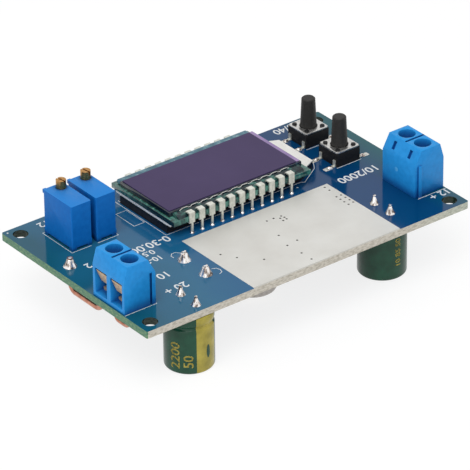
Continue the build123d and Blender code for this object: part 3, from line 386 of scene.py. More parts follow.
# Plain surfaces: uniform values, dark and light tone, size and height of the grain in mm, and roughness
plainSurfaces = {
    # electro-tinned strip: satin, with a slight yellow-green tint painted in as a reflection of the display
    # glass
    "tinnedStrip": ({"Metallic": 0.55}, ("#c9cbc0", "#e9e9e0"), 0.7, 0.015, (0.28, 0.45)),
    # gate mark on a terminal's moulded face, rubbed pale
    "paleGateMark": ({"Specular IOR Level": 0.2}, ("#3fa0e2", "#63b6ee"), 0.6, 0.01, (0.4, 0.55)),
    # turned brass screw: golden brown, a little tarnished
    "turnedBrass": ({"Metallic": 1.0}, ("#9c6c38", "#c99a5c"), 0.35, 0.012, (0.25, 0.42)),
    # nickel-plated brass clamps inside the terminals: pale and warm against the blue
    "platedBrass": ({"Metallic": 0.45}, ("#cfa678", "#ecd0a6"), 0.6, 0.01, (0.3, 0.5)),
    # zinc-plated screw deep in its well: cool grey
    "zincPlate": ({"Metallic": 0.9}, ("#8d9298", "#b4b8bc"), 0.4, 0.01, (0.3, 0.45)),
    # pressed stainless cover of the push buttons: bright, with a fine rolled grain
    "pressedSteel": ({"Metallic": 0.9}, ("#b9b8b5", "#dedddb"), 0.5, 0.006, (0.22, 0.36)),
    # button base, glass-filled nylon: flat black
    "blackNylon": ({"Specular IOR Level": 0.25}, ("#101012", "#1c1c1f"), 0.25, 0.012, (0.5, 0.65)),
    # button stem, acetal: soft charcoal with a matt skin
    "charcoalAcetal": ({"Specular IOR Level": 0.3}, ("#232221", "#2f2e2d"), 0.3, 0.015, (0.5, 0.66)),
    # backlight block, acrylic wrapped in dark foil: near black with a soft sheen
    "darkFoil": ({"Specular IOR Level": 0.3}, ("#0d0b10", "#17141a"), 1.0, 0.01, (0.3, 0.42)),
    # diffuser film and light guide, cast acrylic: milk white
    "milkAcrylic": ({"Specular IOR Level": 0.4}, ("#eceae4", "#f7f6f2"), 1.5, 0.005, (0.3, 0.4)),
    # polarising film on glass: deep violet, smooth as the glass below it
    "polarisingFilm": ({"Specular IOR Level": 0.12}, ("#40325a", "#463861"), 12.0, 0.002, (0.14, 0.2)),
    # pale violet strip past the end of the film: a painted reflection of the glass edge
    "paintedFilmReflection": ({"Specular IOR Level": 0.3}, ("#8a72a6", "#a58cbc"), 4.0, 0.002, (0.12, 0.2)),
    # ink of the sleeves' numbers, a little brighter than the stripe
    "goldSleeveInk": ({"Specular IOR Level": 0.3}, ("#b9a94c", "#d3c465"), 0.6, 0.004, (0.4, 0.5)),
    # signs left open in the stripe, where the green film shows
    "greenSleeveShowing": ({"Specular IOR Level": 0.3}, ("#1b3f30", "#28523f"), 0.6, 0.004, (0.3, 0.4)),
    # impact-extruded aluminium can: silver grey with a drawn sheen
    "drawnAluminium": ({"Metallic": 0.85}, ("#a29c96", "#bdb8b3"), 0.8, 0.01, (0.34, 0.5)),
    # butyl rubber bung: dead black
    "butylRubber": ({"Specular IOR Level": 0.2}, ("#141414", "#202020"), 0.4, 0.02, (0.7, 0.85)),
    # enamelled copper wire: rosy, wet-looking lacquer over metal
    "enamelledCopper": ({"Metallic": 0.85, "Coat Weight": 0.5, "Coat Roughness": 0.15},
                        ("#a8674d", "#cf8f74"), 1.1, 0.01, (0.26, 0.4)),
    # iron-powder ring, painted: dull yellow with a coarse grain
    "paintedIronPowder": ({"Specular IOR Level": 0.35}, ("#b29a3a", "#cbb34c"), 0.5, 0.03, (0.4, 0.55)),
    # transfer-moulded epoxy of the chips: charcoal with a fine sparkle of filler
    "mouldedEpoxy": ({"Specular IOR Level": 0.3}, ("#151517", "#232326"), 0.12, 0.01, (0.55, 0.75)),
    # numbers burnt into the epoxy: dull grey
    "laserMarkOnEpoxy": ({"Specular IOR Level": 0.1}, ("#6d6d6c", "#8b8b89"), 0.2, 0.004, (0.7, 0.85)),
    # fired ceramic of the chip capacitors: dry tan
    "firedCeramic": ({"Specular IOR Level": 0.3}, ("#8a7454", "#a68e6b"), 0.3, 0.01, (0.4, 0.6)),
    # printed legend: thick white epoxy ink
    "legendInk": ({"Specular IOR Level": 0.3}, ("#dfe3e4", "#f2f4f4"), 0.5, 0.01, (0.5, 0.62)),
    # shade in a plated hole and in a pressed score: near black
    "holeShade": ({"Specular IOR Level": 0.1}, ("#1f1d1a", "#37342e"), 0.3, 0.004, (0.6, 0.8)),
}
for surfaceName, surfaceValues in plainSurfaces.items():
    surfaceOf(surfaceName, *surfaceValues)
makeSolderMask()
makeTinSheet()
makeSolder()
# terminal block, moulded polyamide: sky blue with a soft sheen
# after the tones come the painted top light, the painted recess shade and its reach in mm
mouldedPolymer("skyPolyamide", {"Specular IOR Level": 0.22}, ("#1a8ad6", "#2496e2"), "#2497e2", "#0d4f9a",
               3.0)
# trimmer case, moulded thermoset: a deeper blue, with painted top light and painted shade of shorter reach
mouldedPolymer("trimmerThermoset", {"Specular IOR Level": 0.12}, ("#0866b8", "#0e6fc2"), "#2784d6", "#0a3f80",
               1.5)
# lower glass: sea-green, with pale streaks where the clips' glue shows through
# the last colour is the painted shade at the left end
makeGlass("lowerDisplayGlass", [(0.36, "#16302f"), (0.46, "#2a5f58"), (0.6, "#4b8a7c"), (0.78, "#a5cfc2")],
          "#14262c")
# upper glass: near black at its rim, with faint light lines painted in as highlights, and painted shade at the
# left end
makeGlass("upperDisplayGlass", [(0.4, "#0e1620"), (0.6, "#1b2a38"), (0.8, "#38566a")], "#0c1218")
makeGlue()
makeSleeveFilm("greenShrinkSleeve", "output_capacitor_sleeve", -80.5)
makeSleeveFilm("greenShrinkSleeveTurned", "input_capacitor_sleeve", 60.0)

# Which finish each node has
finishes = {
    "solderMaskOnLaminate": ["circuit_board"],
    "levelledTin": ["tinned_area"],
    "frozenSolder": ["solder_joints", "output_capacitor_leads", "input_capacitor_leads", "trimmer_pins"],
    "tinnedStrip": ["lcd_pins", "mode_button_legs", "switch_button_legs", "chip_legs"],
    "skyPolyamide": ["output_terminal_housing", "input_terminal_housing"],
    "trimmerThermoset": ["voltage_trimmer_case", "current_trimmer_case"],
    "turnedBrass": ["voltage_trimmer_screw", "current_trimmer_screw", "button_domes"],
    "platedBrass": ["output_terminal_frames", "input_terminal_frames", "output_leaf_1", "output_leaf_2",
                    "input_leaf_1", "input_leaf_2"],
    "zincPlate": ["output_screw_1", "output_screw_2", "input_screw_1", "input_screw_2"],
    "pressedSteel": ["mode_button_plate", "switch_button_plate"],
    "blackNylon": ["mode_button_base", "switch_button_base", "middle_capacitor_base"],
    "charcoalAcetal": ["mode_button_stem", "switch_button_stem"],
    "darkFoil": ["lcd_backlight"],
    "milkAcrylic": ["lcd_light_guide", "lcd_rear_polariser"],
    "polarisingFilm": ["lcd_front_polariser"],
    "lowerDisplayGlass": ["lcd_lower_glass"],
    "upperDisplayGlass": ["lcd_upper_glass"],
    "clearSilicone": ["lcd_glue_beads"],
    "greenShrinkSleeve": ["output_capacitor_sleeve"],
    "greenShrinkSleeveTurned": ["input_capacitor_sleeve"],
    "drawnAluminium": ["output_capacitor_can", "input_capacitor_can", "middle_capacitor_can"],
    "butylRubber": ["output_capacitor_bung", "input_capacitor_bung"],
    "enamelledCopper": ["output_shunt", "link_wire", "output_inductor_winding", "input_inductor_winding"],
    "paintedIronPowder": ["output_inductor_core", "input_inductor_core"],
    "mouldedEpoxy": ["chip_bodies", "chip_resistors", "power_transistor", "power_diode"],
    "firedCeramic": ["chip_ceramics"],
}
for finish, members in finishes.items():
    for member in members:
        nodes[member].data.materials.clear()
        nodes[member].data.materials.append(materials[finish])
unfinished = sorted(set(nodes) - {member for members in finishes.values() for member in members})
print("stage: finishes set; without one:", unfinished)


# Modelling helpers
smoothBelow = {"wire": 60, "turned": 50, "moulded": 40}  # degrees between faces that still shade as one


def deselectAll():
    if bpy.context.mode != "OBJECT":
        bpy.ops.object.mode_set(mode="OBJECT")
    bpy.ops.object.select_all(action="DESELECT")


def pickOnly(piece):
    deselectAll()
    piece.select_set(True)
    bpy.context.view_layer.objects.active = piece


def openEdit():
    # edit mode on the active piece, with all of it selected
    bpy.ops.object.mode_set(mode="EDIT")
    bpy.ops.mesh.select_all(action="SELECT")


def pullUp(heightInMm):
    bpy.ops.mesh.extrude_region_move(TRANSFORM_OT_translate={"value": (0, 0, heightInMm * mm)})


def closeEdit():
    # all faces turned outwards, and back to object mode
    bpy.ops.mesh.select_all(action="SELECT")
    bpy.ops.mesh.normals_make_consistent(inside=False)
    bpy.ops.object.mode_set(mode="OBJECT")


def applyPlace():
    bpy.ops.object.transform_apply(location=True, rotation=True, scale=True)


def settle(piece, name, finish, body="board"):
    # names a piece, applies its place to its mesh, gives its finish and lets it ride on its body
    pickOnly(piece)
    applyPlace()
    piece.name = name
    piece.data.name = name
    piece.data.materials.clear()
    piece.data.materials.append(materials[finish])
    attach(piece, body)
    return piece


def copyTo(template, place):
    # one more of a modelled piece, with its own mesh
    other = template.copy()
    other.data = template.data.copy()
    bpy.context.collection.objects.link(other)
    other.location = place
    return other


def joinAll(pieces):
    deselectAll()
    for piece in pieces:
        piece.select_set(True)
    bpy.context.view_layer.objects.active = pieces[0]
    applyPlace()
    if len(pieces) > 1:
        bpy.ops.object.join()
    return bpy.context.view_layer.objects.active


def spreadOver(form, places):
    # a copy of the form at each place, joined to one piece
    copies = [copyTo(form, place) for place in places]
    bpy.data.objects.remove(form)
    return joinAll(copies)


def smoothBy(piece, degrees):
    pickOnly(piece)
    bpy.ops.object.shade_smooth_by_angle(angle=math.radians(degrees))


def risingForm(profile, sides):
    # a round form raised ring by ring: profile holds (radius, height) in mm from the foot up
    deselectAll()
    radius, height = profile[0]
    bpy.ops.mesh.primitive_circle_add(vertices=sides, radius=radius * mm, fill_type="NGON",
                                      location=(0, 0, height * mm))
    piece = bpy.context.active_object
    openEdit()
    for nextRadius, nextHeight in profile[1:]:
        pullUp(nextHeight - height)
        bpy.ops.transform.resize(value=(nextRadius / radius, nextRadius / radius, 1.0))
        radius, height = nextRadius, nextHeight
    closeEdit()
    applyPlace()
    return piece


def thicken(path, radius, resolution):
    # turns a path of edges into a round wire with closed ends
    pickOnly(path)
    bpy.ops.object.convert(target="CURVE")
    path.data.bevel_depth = radius
    path.data.bevel_resolution = resolution
    path.data.use_fill_caps = True
    bpy.ops.object.convert(target="MESH")
    wire = bpy.context.view_layer.objects.active
    smoothBy(wire, smoothBelow["wire"])
    return wire


def wireThrough(points, radius, bend, resolution):
    # a wire drawn from point to point, with its corners bent round
    deselectAll()
    bpy.ops.mesh.primitive_plane_add(size=mm, location=points[0])
    path = bpy.context.active_object
    openEdit()
    bpy.ops.mesh.merge(type="CENTER")
    for here, there in zip(points, points[1:]):
        bpy.ops.mesh.extrude_vertices_move(TRANSFORM_OT_translate={"value": there - here})
    if bend:
        bpy.ops.mesh.select_all(action="SELECT")
        bpy.ops.mesh.bevel(offset=bend, segments=6, affect="VERTICES")
    bpy.ops.object.mode_set(mode="OBJECT")
    return thicken(path, radius, resolution)


def softBlock(size, place, rounding):
    # a block shaped from a plane: sized, raised and with all its edges rounded
    deselectAll()
    bpy.ops.mesh.primitive_plane_add(size=mm, location=place)
    block = bpy.context.active_object
    openEdit()
    bpy.ops.transform.resize(value=(size[0], size[1], 1.0))
    pullUp(size[2])
    bpy.ops.mesh.select_all(action="SELECT")
    bpy.ops.mesh.bevel(offset=rounding * mm, segments=2, affect="EDGES")
    closeEdit()
    applyPlace()
    return block


# Edges that the mould left slightly round, and the press and the glass cutter
rounded = {"widthsInMm": {"output_terminal_housing": 0.12, "input_terminal_housing": 0.12,
                          "voltage_trimmer_case": 0.14, "current_trimmer_case": 0.14,
                          "mode_button_base": 0.08, "switch_button_base": 0.08,
                          "mode_button_plate": 0.09, "switch_button_plate": 0.09,
                          "lcd_upper_glass": 0.09, "lcd_lower_glass": 0.09},
           "mergeInMm": 0.004, "flatWithin": 1.0, "sharpFrom": 35, "segments": 2}


def roundEdges(node, widthInMm):
    piece = copyTo(nodes[node], nodes[node].location)
    piece.parent = None
    pickOnly(piece)
    openEdit()
    bpy.ops.mesh.remove_doubles(threshold=rounded["mergeInMm"] * mm)
    bpy.ops.mesh.dissolve_limited(angle_limit=math.radians(rounded["flatWithin"]))
    bpy.ops.object.mode_set(mode="OBJECT")
    rounding = piece.modifiers.new("rounding", "BEVEL")
    rounding.width = widthInMm * mm
    rounding.segments = rounded["segments"]
    rounding.limit_method = "ANGLE"
    rounding.angle_limit = math.radians(rounded["sharpFrom"])
    bpy.ops.object.modifier_apply(modifier="rounding")
    smoothBy(piece, smoothBelow["moulded"])
    finish = next(key for key, members in finishes.items() if node in members)
    settle(piece, node + "_rounded", finish, bodyOf[node])
    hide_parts(node)


for roundedNode, roundedWidth in rounded["widthsInMm"].items():
    roundEdges(roundedNode, roundedWidth)
print("stage: edges rounded")

# Printed legend
legend = {"thicknessInMm": 0.02, "strokeInMm": 0.17, "boldInMm": 0.035, "capShare": 0.7, "flatShare": 0.3,
          "curveSteps": 4, "dot": [(0.2, 0), (0.16, 0.02)], "dotSides": 16,
          "dots": [(0.95, 48.1), (57.8, 26.2)]}
legendLines = [
    [(26.1, 44.8), (26.1, 27.9)],
    [(25.3, 44.8), (25.3, 27.5), (59.7, 27.5), (60.4, 27.0), (65.5, 30.3), (67.4, 33.1)],
    [(7.2, 43.7), (6.45, 43.7), (6.45, 33.6), (11.2, 33.6)], [(12.8, 33.6), (17.9, 33.6), (17.9, 43.7)],
    [(0.2, 7.5), (7.95, 7.5), (7.95, 18.2)], [(81.2, 7.1), (73.9, 7.1)],
    [(69.1, 27.35), (75.5, 27.35)], [(69.1, 37.4), (75.5, 37.4)],
    [(22.4, 34.4), (25.0, 34.4), (25.0, 40.6), (22.4, 40.6), (22.4, 34.4)],
    [(23.3, 20.0), (22.5, 20.9), (21.6, 20.9), (21.0, 20.2), (21.1, 19.4)],
    [(24.3, 11.3), (25.2, 10.9), (25.5, 10.0), (25.2, 9.1), (24.4, 8.8)]]
# Plain numbers and signs: words, cap height in mm, start and middle line
legendWords = [("12", 1.9, 10.1, 46.5), ("2", 1.8, 6.6, 27.5), ("0-30.00", 2.2, 25.2, 26.3),
               ("0.5", 1.6, 19.6, 23.9), ("10-2", 1.6, 19.6, 21.3), ("10 -", 2.1, 16.9, 15.2),
               ("20 +", 2.1, 17.2, 9.8), ("10/2000", 2.2, 76.2, 22.7), ("3/40", 2.0, 73.4, 47.2),
               ("12 +", 1.9, 81.2, 5.9)]


def layFlat(words, capHeight, place, turn):
    # numbers set in plain sans, made into a thin printed layer
    deselectAll()
    bpy.ops.object.text_add(location=place, rotation=(0, 0, turn))
    lettering = bpy.context.active_object
    lettering.data.body = words
    lettering.data.size = capHeight * mm / legend["capShare"]
    lettering.data.extrude = legend["thicknessInMm"] * mm / 2
    lettering.data.offset = legend["boldInMm"] * mm
    lettering.data.resolution_u = legend["curveSteps"]
    bpy.ops.object.convert(target="MESH")
    return bpy.context.active_object


def makeLegend():
    pieces = []
    for points in legendLines:
        line = wireThrough([onBoard(x, y) for x, y in points], legend["strokeInMm"] * mm / 2, 0.0, 1)
        line.scale.z = legend["flatShare"]
        pieces.append(line)
    for words, cap, x, y in legendWords:
        pieces.append(layFlat(words, cap, onBoard(x, y + cap / 2, legend["thicknessInMm"] / 2), math.pi))
    dot = risingForm(legend["dot"], legend["dotSides"])
    pieces.append(spreadOver(dot, [onBoard(x, y) for x, y in legend["dots"]]))
    settle(joinAll(pieces), "printed_legend", "legendInk")


makeLegend()
print("stage: legend printed")

# Plated holes in the tinned area
viaForm = {"rim": [(0.34, 0.0), (0.31, 0.03)], "shade": [(0.24, 0.0), (0.22, 0.035)], "sides": 16}
viaPlaces = [(62.1, 22.65), (62.1, 21.1), (62.7, 18.1), (61.5, 18.1), (62.8, 16.8), (61.5, 16.8), (62.8, 15.5),
             (61.45, 15.5), (62.8, 14.3), (61.5, 14.2), (47.9, 19.0), (46.1, 19.2), (47.2, 18.4), (48.1, 18.2),
             (48.05, 17.4), (47.1, 17.3), (44.4, 19.2), (42.7, 13.2), (44.4, 9.4), (41.6, 9.0), (41.95, 4.9),
             (42.0, 1.8), (34.6, 7.6), (30.8, 11.5), (29.0, 14.5)]
tinTop = (cornersOf("tinned_area")[1].z - boardHigh.z) / mm


def makeVias():
    places = [onBoard(x, y, tinTop) for x, y in viaPlaces]
    for part, finish in (("rim", "levelledTin"), ("shade", "holeShade")):
        form = risingForm(viaForm[part], viaForm["sides"])
        settle(spreadOver(form, places), "plated_hole_" + part + "s", finish)


makeVias()

# Pads and solder under the button feet
padForm = {"lengthInMm": 1.9, "widthInMm": 1.15, "thicknessInMm": 0.05, "cornerInMm": 0.2, "outInMm": 4.85,
           "halfPitchInMm": 2.25, "buttonX": 72.25, "buttonYs": (30.5, 40.7), "footOutInMm": 4.3,
           "foot": [(0.85, 0.05), (0.76, 0.16), (0.52, 0.36), (0.26, 0.46)], "footWidthShare": 0.62,
           "sides": 20}


def footPlaces(outInMm):
    return [onBoard(padForm["buttonX"] + sx * outInMm, y + sy * padForm["halfPitchInMm"])
            for y in padForm["buttonYs"] for sx in (-1, 1) for sy in (-1, 1)]


def makePads():
    # tinned pads that the button feet are soldered to
    deselectAll()
    bpy.ops.mesh.primitive_plane_add(size=mm)
    form = bpy.context.active_object
    openEdit()
    bpy.ops.transform.resize(value=(padForm["lengthInMm"], padForm["widthInMm"], 1.0))
    bpy.ops.mesh.bevel(offset=padForm["cornerInMm"] * mm, segments=3, affect="VERTICES")
    pullUp(padForm["thicknessInMm"])
    closeEdit()
    settle(spreadOver(form, footPlaces(padForm["outInMm"])), "button_pads", "levelledTin")


def makeFeet():
    # solder drawn up over each button foot
    form = risingForm(padForm["foot"], padForm["sides"])
    form.scale.y = padForm["footWidthShare"]
    feet = settle(spreadOver(form, footPlaces(padForm["footOutInMm"])), "button_foot_solder", "frozenSolder")
    smoothBy(feet, smoothBelow["wire"])


makePads()
makeFeet()
print("stage: holes and pads made")

# Solder joints: skirts that climb the lead, with a drawn-up neck
jointForms = {
    "thick": {"profile": [(1.42, 0.0), (1.38, 0.08), (1.22, 0.34), (1.02, 0.72), (0.86, 1.1), (0.74, 1.45),
                          (0.6, 1.66), (0.34, 1.74)], "sides": 20, "rough": 0.03},
    "thin": {"profile": [(1.02, 0.0), (0.98, 0.08), (0.84, 0.32), (0.66, 0.7), (0.5, 1.1), (0.38, 1.5),
                         (0.24, 1.72)],
             "sides": 20, "rough": 0.03},
    "low": {"profile": [(1.2, 0.0), (1.14, 0.08), (0.92, 0.26), (0.72, 0.5), (0.58, 0.72), (0.4, 0.86)],
            "sides": 18, "rough": 0.04},
    "bead": {"profile": [(0.46, 0.0), (0.45, 0.08), (0.37, 0.2), (0.27, 0.32), (0.14, 0.38)], "sides": 14,
             "rough": 0.0},
    "pin": {"profile": [(1.0, 0.0), (0.95, 0.08), (0.72, 0.25), (0.5, 0.55), (0.36, 0.9), (0.2, 1.0)],
            "sides": 14, "rough": 0.03}}
terminalPins = [(x, y) for x in (3.7, 77.7) for y in (10.35, 15.35)]
trimmerPins = [(x, y) for x in (9.265, 15.315) for y in (36.225, 38.765, 41.305)]
displayPins = [(29.96 + i * 2.54, y) for i in range(11) for y in (25.025, 46.575)]
jointPlaces = {"thick": [(3.13, 29.7), (3.13, 19.3), (22.2, 17.45), (22.2, 10.4)],
               "thin": [(13.6, 2.3), (13.6, 7.3), (65.9, 6.3), (65.9, 11.3)],
               "low": [(46.47, 44.9), (54.09, 44.9)], "bead": displayPins}
jointsBelow = {"pin": terminalPins + trimmerPins, "bead": displayPins}
jointTurn = 0.7  # radians from one joint to the next, so that no two look alike


def placeJoints(kind, places, below):
    form = jointForms[kind]
    joints = []
    for number, (x, y) in enumerate(places):
        joint = risingForm(form["profile"], form["sides"])
        if form["rough"]:
            openEdit()
            bpy.ops.transform.vertex_random(offset=form["rough"] * mm, uniform=0.0, normal=0.0, seed=number)
            bpy.ops.object.mode_set(mode="OBJECT")
        joint.location = underBoard(x, y) if below else onBoard(x, y)
        joint.rotation_euler = (math.pi if below else 0.0, 0.0, number * jointTurn)
        joints.append(joint)
    return joints


def makeJoints():
    joints = []
    for below, kinds in ((False, jointPlaces), (True, jointsBelow)):
        for kind, places in kinds.items():
            joints += placeJoints(kind, places, below)
    solder = joinAll(joints)
    smoothBy(solder, smoothBelow["wire"])
    settle(solder, "solder_fillets", "frozenSolder")
    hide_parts("solder_joints")


makeJoints()
print("stage: joints soldered")

# Windings of round enamelled wire, with a lead from each end through the board
coilForm = {"wireRadius": 0.47, "radialSpan": 5.1, "heightSpan": 8.1, "corner": 1.0, "middleRadius": 6.0,
            "middleBelow": 4.8, "turns": 15, "arc": 300, "runDepth": 0.75, "outerRadius": 7.5,
            "leadBend": 0.9, "leadShort": 0.4, "strandFoot": 0.3, "strandSpread": 0.3, "strandLean": 0.8,
            "strandRadius": 0.26}
coils = {"output": {"centre": (26.0, 35.8), "gap": -90, "leads": [(22.2, 10.4), (22.2, 17.45)], "tip": 1.95},
         "input": {"centre": (50.28, 35.8), "gap": 90, "leads": [(46.47, 44.9), (54.09, 44.9)], "tip": 0.75}}


def makeTurn():
    # one turn round the ring's section, as a closed path with round corners
    deselectAll()
    bpy.ops.mesh.primitive_plane_add(size=mm, location=(0, 0, 0), rotation=(math.pi / 2, 0, 0))
    turn = bpy.context.active_object
    applyPlace()
    openEdit()
    bpy.ops.transform.resize(value=(coilForm["radialSpan"], 1.0, coilForm["heightSpan"]))
    bpy.ops.mesh.bevel(offset=coilForm["corner"] * mm, segments=4, affect="VERTICES")
    bpy.ops.transform.translate(value=(coilForm["middleRadius"] * mm, 0,
                                       boardLow.z - coilForm["middleBelow"] * mm))
    bpy.ops.mesh.delete(type="ONLY_FACE")
    bpy.ops.object.mode_set(mode="OBJECT")
    return thicken(turn, coilForm["wireRadius"] * mm, 3)


def makeCoil(name):
    coil = coils[name]
    centre = onBoard(*coil["centre"])
    centre.z = 0.0
    turn = makeTurn()
    step = coilForm["arc"] / (coilForm["turns"] - 1)
    first = coil["gap"] + (360 - coilForm["arc"]) / 2
    angles = [math.radians(first + i * step) for i in range(coilForm["turns"])]
    pieces = []
    for angle in angles:
        loop = copyTo(turn, centre)
        loop.rotation_euler = (0, 0, angle)
        pieces.append(loop)
    bpy.data.objects.remove(turn)
    tips = []
    for angle, (x, y) in zip((angles[0], angles[-1]), coil["leads"]):
        start = centre + Vector((math.cos(angle), math.sin(angle), 0)) * coilForm["outerRadius"] * mm
        under, top = onBoard(x, y), onBoard(x, y, coil["tip"] - coilForm["leadShort"])
        start.z = under.z = boardLow.z - coilForm["runDepth"] * mm
        pieces.append(wireThrough([start, under, top], coilForm["wireRadius"] * mm,
                                  coilForm["leadBend"] * mm, 3))
        for out in (-coilForm["strandSpread"], coilForm["strandSpread"]):
            foot = onBoard(x + out, y, coilForm["strandFoot"])
            tip = onBoard(x + out * coilForm["strandLean"], y, coil["tip"])
            tips.append(wireThrough([foot, tip], coilForm["strandRadius"] * mm, 0.0, 2))
    wire = settle(joinAll(pieces), name + "_round_winding", "enamelledCopper")
    smoothBy(wire, smoothBelow["wire"])
    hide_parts(name + "_inductor_winding")
    settle(joinAll(tips), name + "_tinned_strands", "frozenSolder")


for coilName in coils:
    makeCoil(coilName)
print("stage: coils wound")

# Display: a thin white line scalloped over the clips as a painted highlight on the glue's edge, and a pale
# strip past the end of the film as a painted reflection
glueHighlightForm = {"radius": 0.06, "outInMm": 0.1, "low": 0.76, "high": 1.02, "first": 29.96, "pitch": 2.54,
                "count": 11, "arch": ((-1.27, 0.0), (-0.95, 0.12), (-0.72, 0.8), (-0.5, 1.0), (0.5, 1.0),
                                      (0.72, 0.8), (0.95, 0.12), (1.27, 0.0))}
reflectionStripForm = {"lengthInMm": 0.85, "thicknessInMm": 0.19, "roundInMm": 0.05}


def makeGlueHighlight():
    # painted highlight: a thin white line along the glue's edge, scalloped over each clip
    low = cornersOf("lcd_upper_glass")[0]
    rise = glueHighlightForm["high"] - glueHighlightForm["low"]
    points = []
    for i in range(glueHighlightForm["count"]):
        x = glueHighlightForm["first"] + i * glueHighlightForm["pitch"]
        for dx, share in glueHighlightForm["arch"]:
            points.append(Vector((onBoard(x + dx, 0).x, low.y - glueHighlightForm["outInMm"] * mm,
                                  low.z + (glueHighlightForm["low"] + rise * share) * mm)))
    line = wireThrough(points, glueHighlightForm["radius"] * mm, 0.0, 1)
    settle(line, "glue_edge_highlight", "milkAcrylic")


def makeFilmEndReflection():
    # painted reflection: a pale violet strip just past the film's right end
    low, high = cornersOf("lcd_front_polariser")
    size = (reflectionStripForm["lengthInMm"], (high.y - low.y) / mm, reflectionStripForm["thicknessInMm"])
    place = Vector((high.x + reflectionStripForm["lengthInMm"] * mm / 2, (low.y + high.y) / 2, low.z))
    settle(softBlock(size, place, reflectionStripForm["roundInMm"]), "film_end_reflection", "paintedFilmReflection")


makeGlueHighlight()
makeFilmEndReflection()

# Back of the display: the glue stands as a clear ridge over the clips
ridgeForm = {"from": 26.4, "to": 59.6, "depthInMm": 1.7, "heightInMm": 0.85, "roundInMm": 0.3}


def makeRidge():
    depth, middle = ridgeForm["depthInMm"], (ridgeForm["from"] + ridgeForm["to"]) / 2
    place = Vector((onBoard(middle, 0).x, cornersOf("lcd_upper_glass")[1].y + depth * mm / 2,
                    cornersOf("lcd_lower_glass")[1].z))
    size = (ridgeForm["to"] - ridgeForm["from"], depth, ridgeForm["heightInMm"])
    settle(softBlock(size, place, ridgeForm["roundInMm"]), "back_glue_ridge", "clearSilicone")


makeRidge()

# Tinned end of the thick wire, and a gate mark on the terminal's back
endForm = {"tinned": [(0.62, 0.0), (0.62, 1.67), (0.52, 1.84), (0.32, 1.92)], "tinnedSides": 24,
           "inFromEnd": 0.6, "gate": [(0.5, 0.0), (0.38, 0.03)], "gateSides": 20, "gateAt": (13.6, 4.3)}


def makeWireEnds():
    low, high = cornersOf("output_shunt")
    inset = endForm["inFromEnd"] * mm
    places = [Vector(((low.x + high.x) / 2, y, boardHigh.z)) for y in (low.y + inset, high.y - inset)]
    form = risingForm(endForm["tinned"], endForm["tinnedSides"])
    tinned = settle(spreadOver(form, places), "tinned_shunt_ends", "tinnedStrip")
    smoothBy(tinned, smoothBelow["turned"])


def makeGateMark():
    mark = risingForm(endForm["gate"], endForm["gateSides"])
    mark.rotation_euler = (0, -math.pi / 2, 0)
    mark.location = onBoard(0, *endForm["gateAt"])
    mark.location.x = cornersOf("input_terminal_housing")[0].x
    settle(mark, "gate_mark", "paleGateMark")


makeWireEnds()
makeGateMark()
print("stage: display dressed")

# Chip resistors and capacitors with metal ends
chipForms = {
    "chip_resistors": {"size": (2.0, 1.25, 0.55), "end": 0.35, "round": 0.05, "body": "mouldedEpoxy",
                       "rows": [((10.0, 30.6), 3, (2.6, 0)), ((77.2, 23.5), 5, (0, 2.5)),
                                ((19.0, 12.6), 3, (0, 2.4))]},
    "chip_ceramics": {"size": (2.0, 1.25, 1.25), "end": 0.4, "round": 0.1, "body": "firedCeramic",
                      "rows": [((66.4, 37.6), 3, (2.8, 0)), ((67.6, 20.2), 3, (0, 2.0)),
                               ((36.0, 8.0), 3, (2.8, 0))]}}
chipInset = (0.2, 0.06, 0.03)  # mm by which the body is smaller than the whole chip with its metal ends


def makeChipRow(node):
    form = chipForms[node]
    length, width, height = form["size"]
    bodySize = [size - less for size, less in zip(form["size"], chipInset)]
    body = softBlock(bodySize, (0, 0, (chipInset[2] / 2 - height) * mm), form["round"])
    ends = [softBlock((form["end"], width, height), (side * (length - form["end"]) / 2 * mm, 0, -height * mm),
                      form["round"]) for side in (-1, 1)]
    places = [underBoard(x + i * dx, y + i * dy)
              for (x, y), count, (dx, dy) in form["rows"] for i in range(count)]
    for piece, ending, finish in ((body, "_bodies", form["body"]),
                                  (joinAll(ends), "_end_caps", "tinnedStrip")):
        row = settle(spreadOver(piece, places), node + ending, finish)
        smoothBy(row, smoothBelow["moulded"])
        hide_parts(node)


for chipNode in chipForms:
    makeChipRow(chipNode)

# Marks on the chips below: a dimple at the first leg and a short plain number
markForm = {"dimple": [(0.22, 0.0), (0.2, 0.03)], "sides": 16, "cap": 0.8, "numberAt": (-1.0, 0.4),
            "lift": 0.01}
chipMarks = [("12", (13.5, 24.5), 1.58, (-1.8, -1.3)), ("34", (13.5, 15.0), 1.58, (-1.8, -1.3)),
             ("56", (69.0, 30.0), 1.48, (-2.6, -2.6)), ("78", (63.5, 43.6), 1.68, (-2.4, -1.2))]


def makeMarks():
    pieces = []
    dimple = risingForm(markForm["dimple"], markForm["sides"])
    across, ahead = markForm["numberAt"]
    for words, (x, y), depth, (dx, dy) in chipMarks:
        spot = copyTo(dimple, underBoard(x + dx, y + dy, -depth))
        place = underBoard(x + across, y + ahead, -depth - markForm["lift"])
        mark = layFlat(words, markForm["cap"], place, 0.0)
        for piece in (spot, mark):
            piece.rotation_euler = (math.pi, 0, 0)
            pieces.append(piece)
    bpy.data.objects.remove(dimple)
    settle(joinAll(pieces), "chip_marks", "laserMarkOnEpoxy")


makeMarks()
print("stage: chips dressed")

# Surface-mount can below the tinned area: its free end is rolled round and pressed, with a printed segment
canForm = {"profile": [(4.98, 0.0), (5.0, 0.06), (5.0, 1.5), (4.92, 1.7), (4.7, 1.88), (4.66, 2.0),
                       (4.7, 2.12), (4.92, 2.3), (5.0, 2.5), (5.0, 9.5), (4.95, 9.85), (4.8, 10.15),
                       (4.55, 10.35), (4.2, 10.42), (3.95, 10.38), (3.85, 10.28), (0.4, 10.28)],
           "sides": 72, "seatInMm": 0.9, "segmentRadius": 3.6, "segmentSides": 48, "segmentFrom": 1.3,
           "segmentRise": 0.02, "scoreInMm": 1.3, "scoreRadius": 0.07}


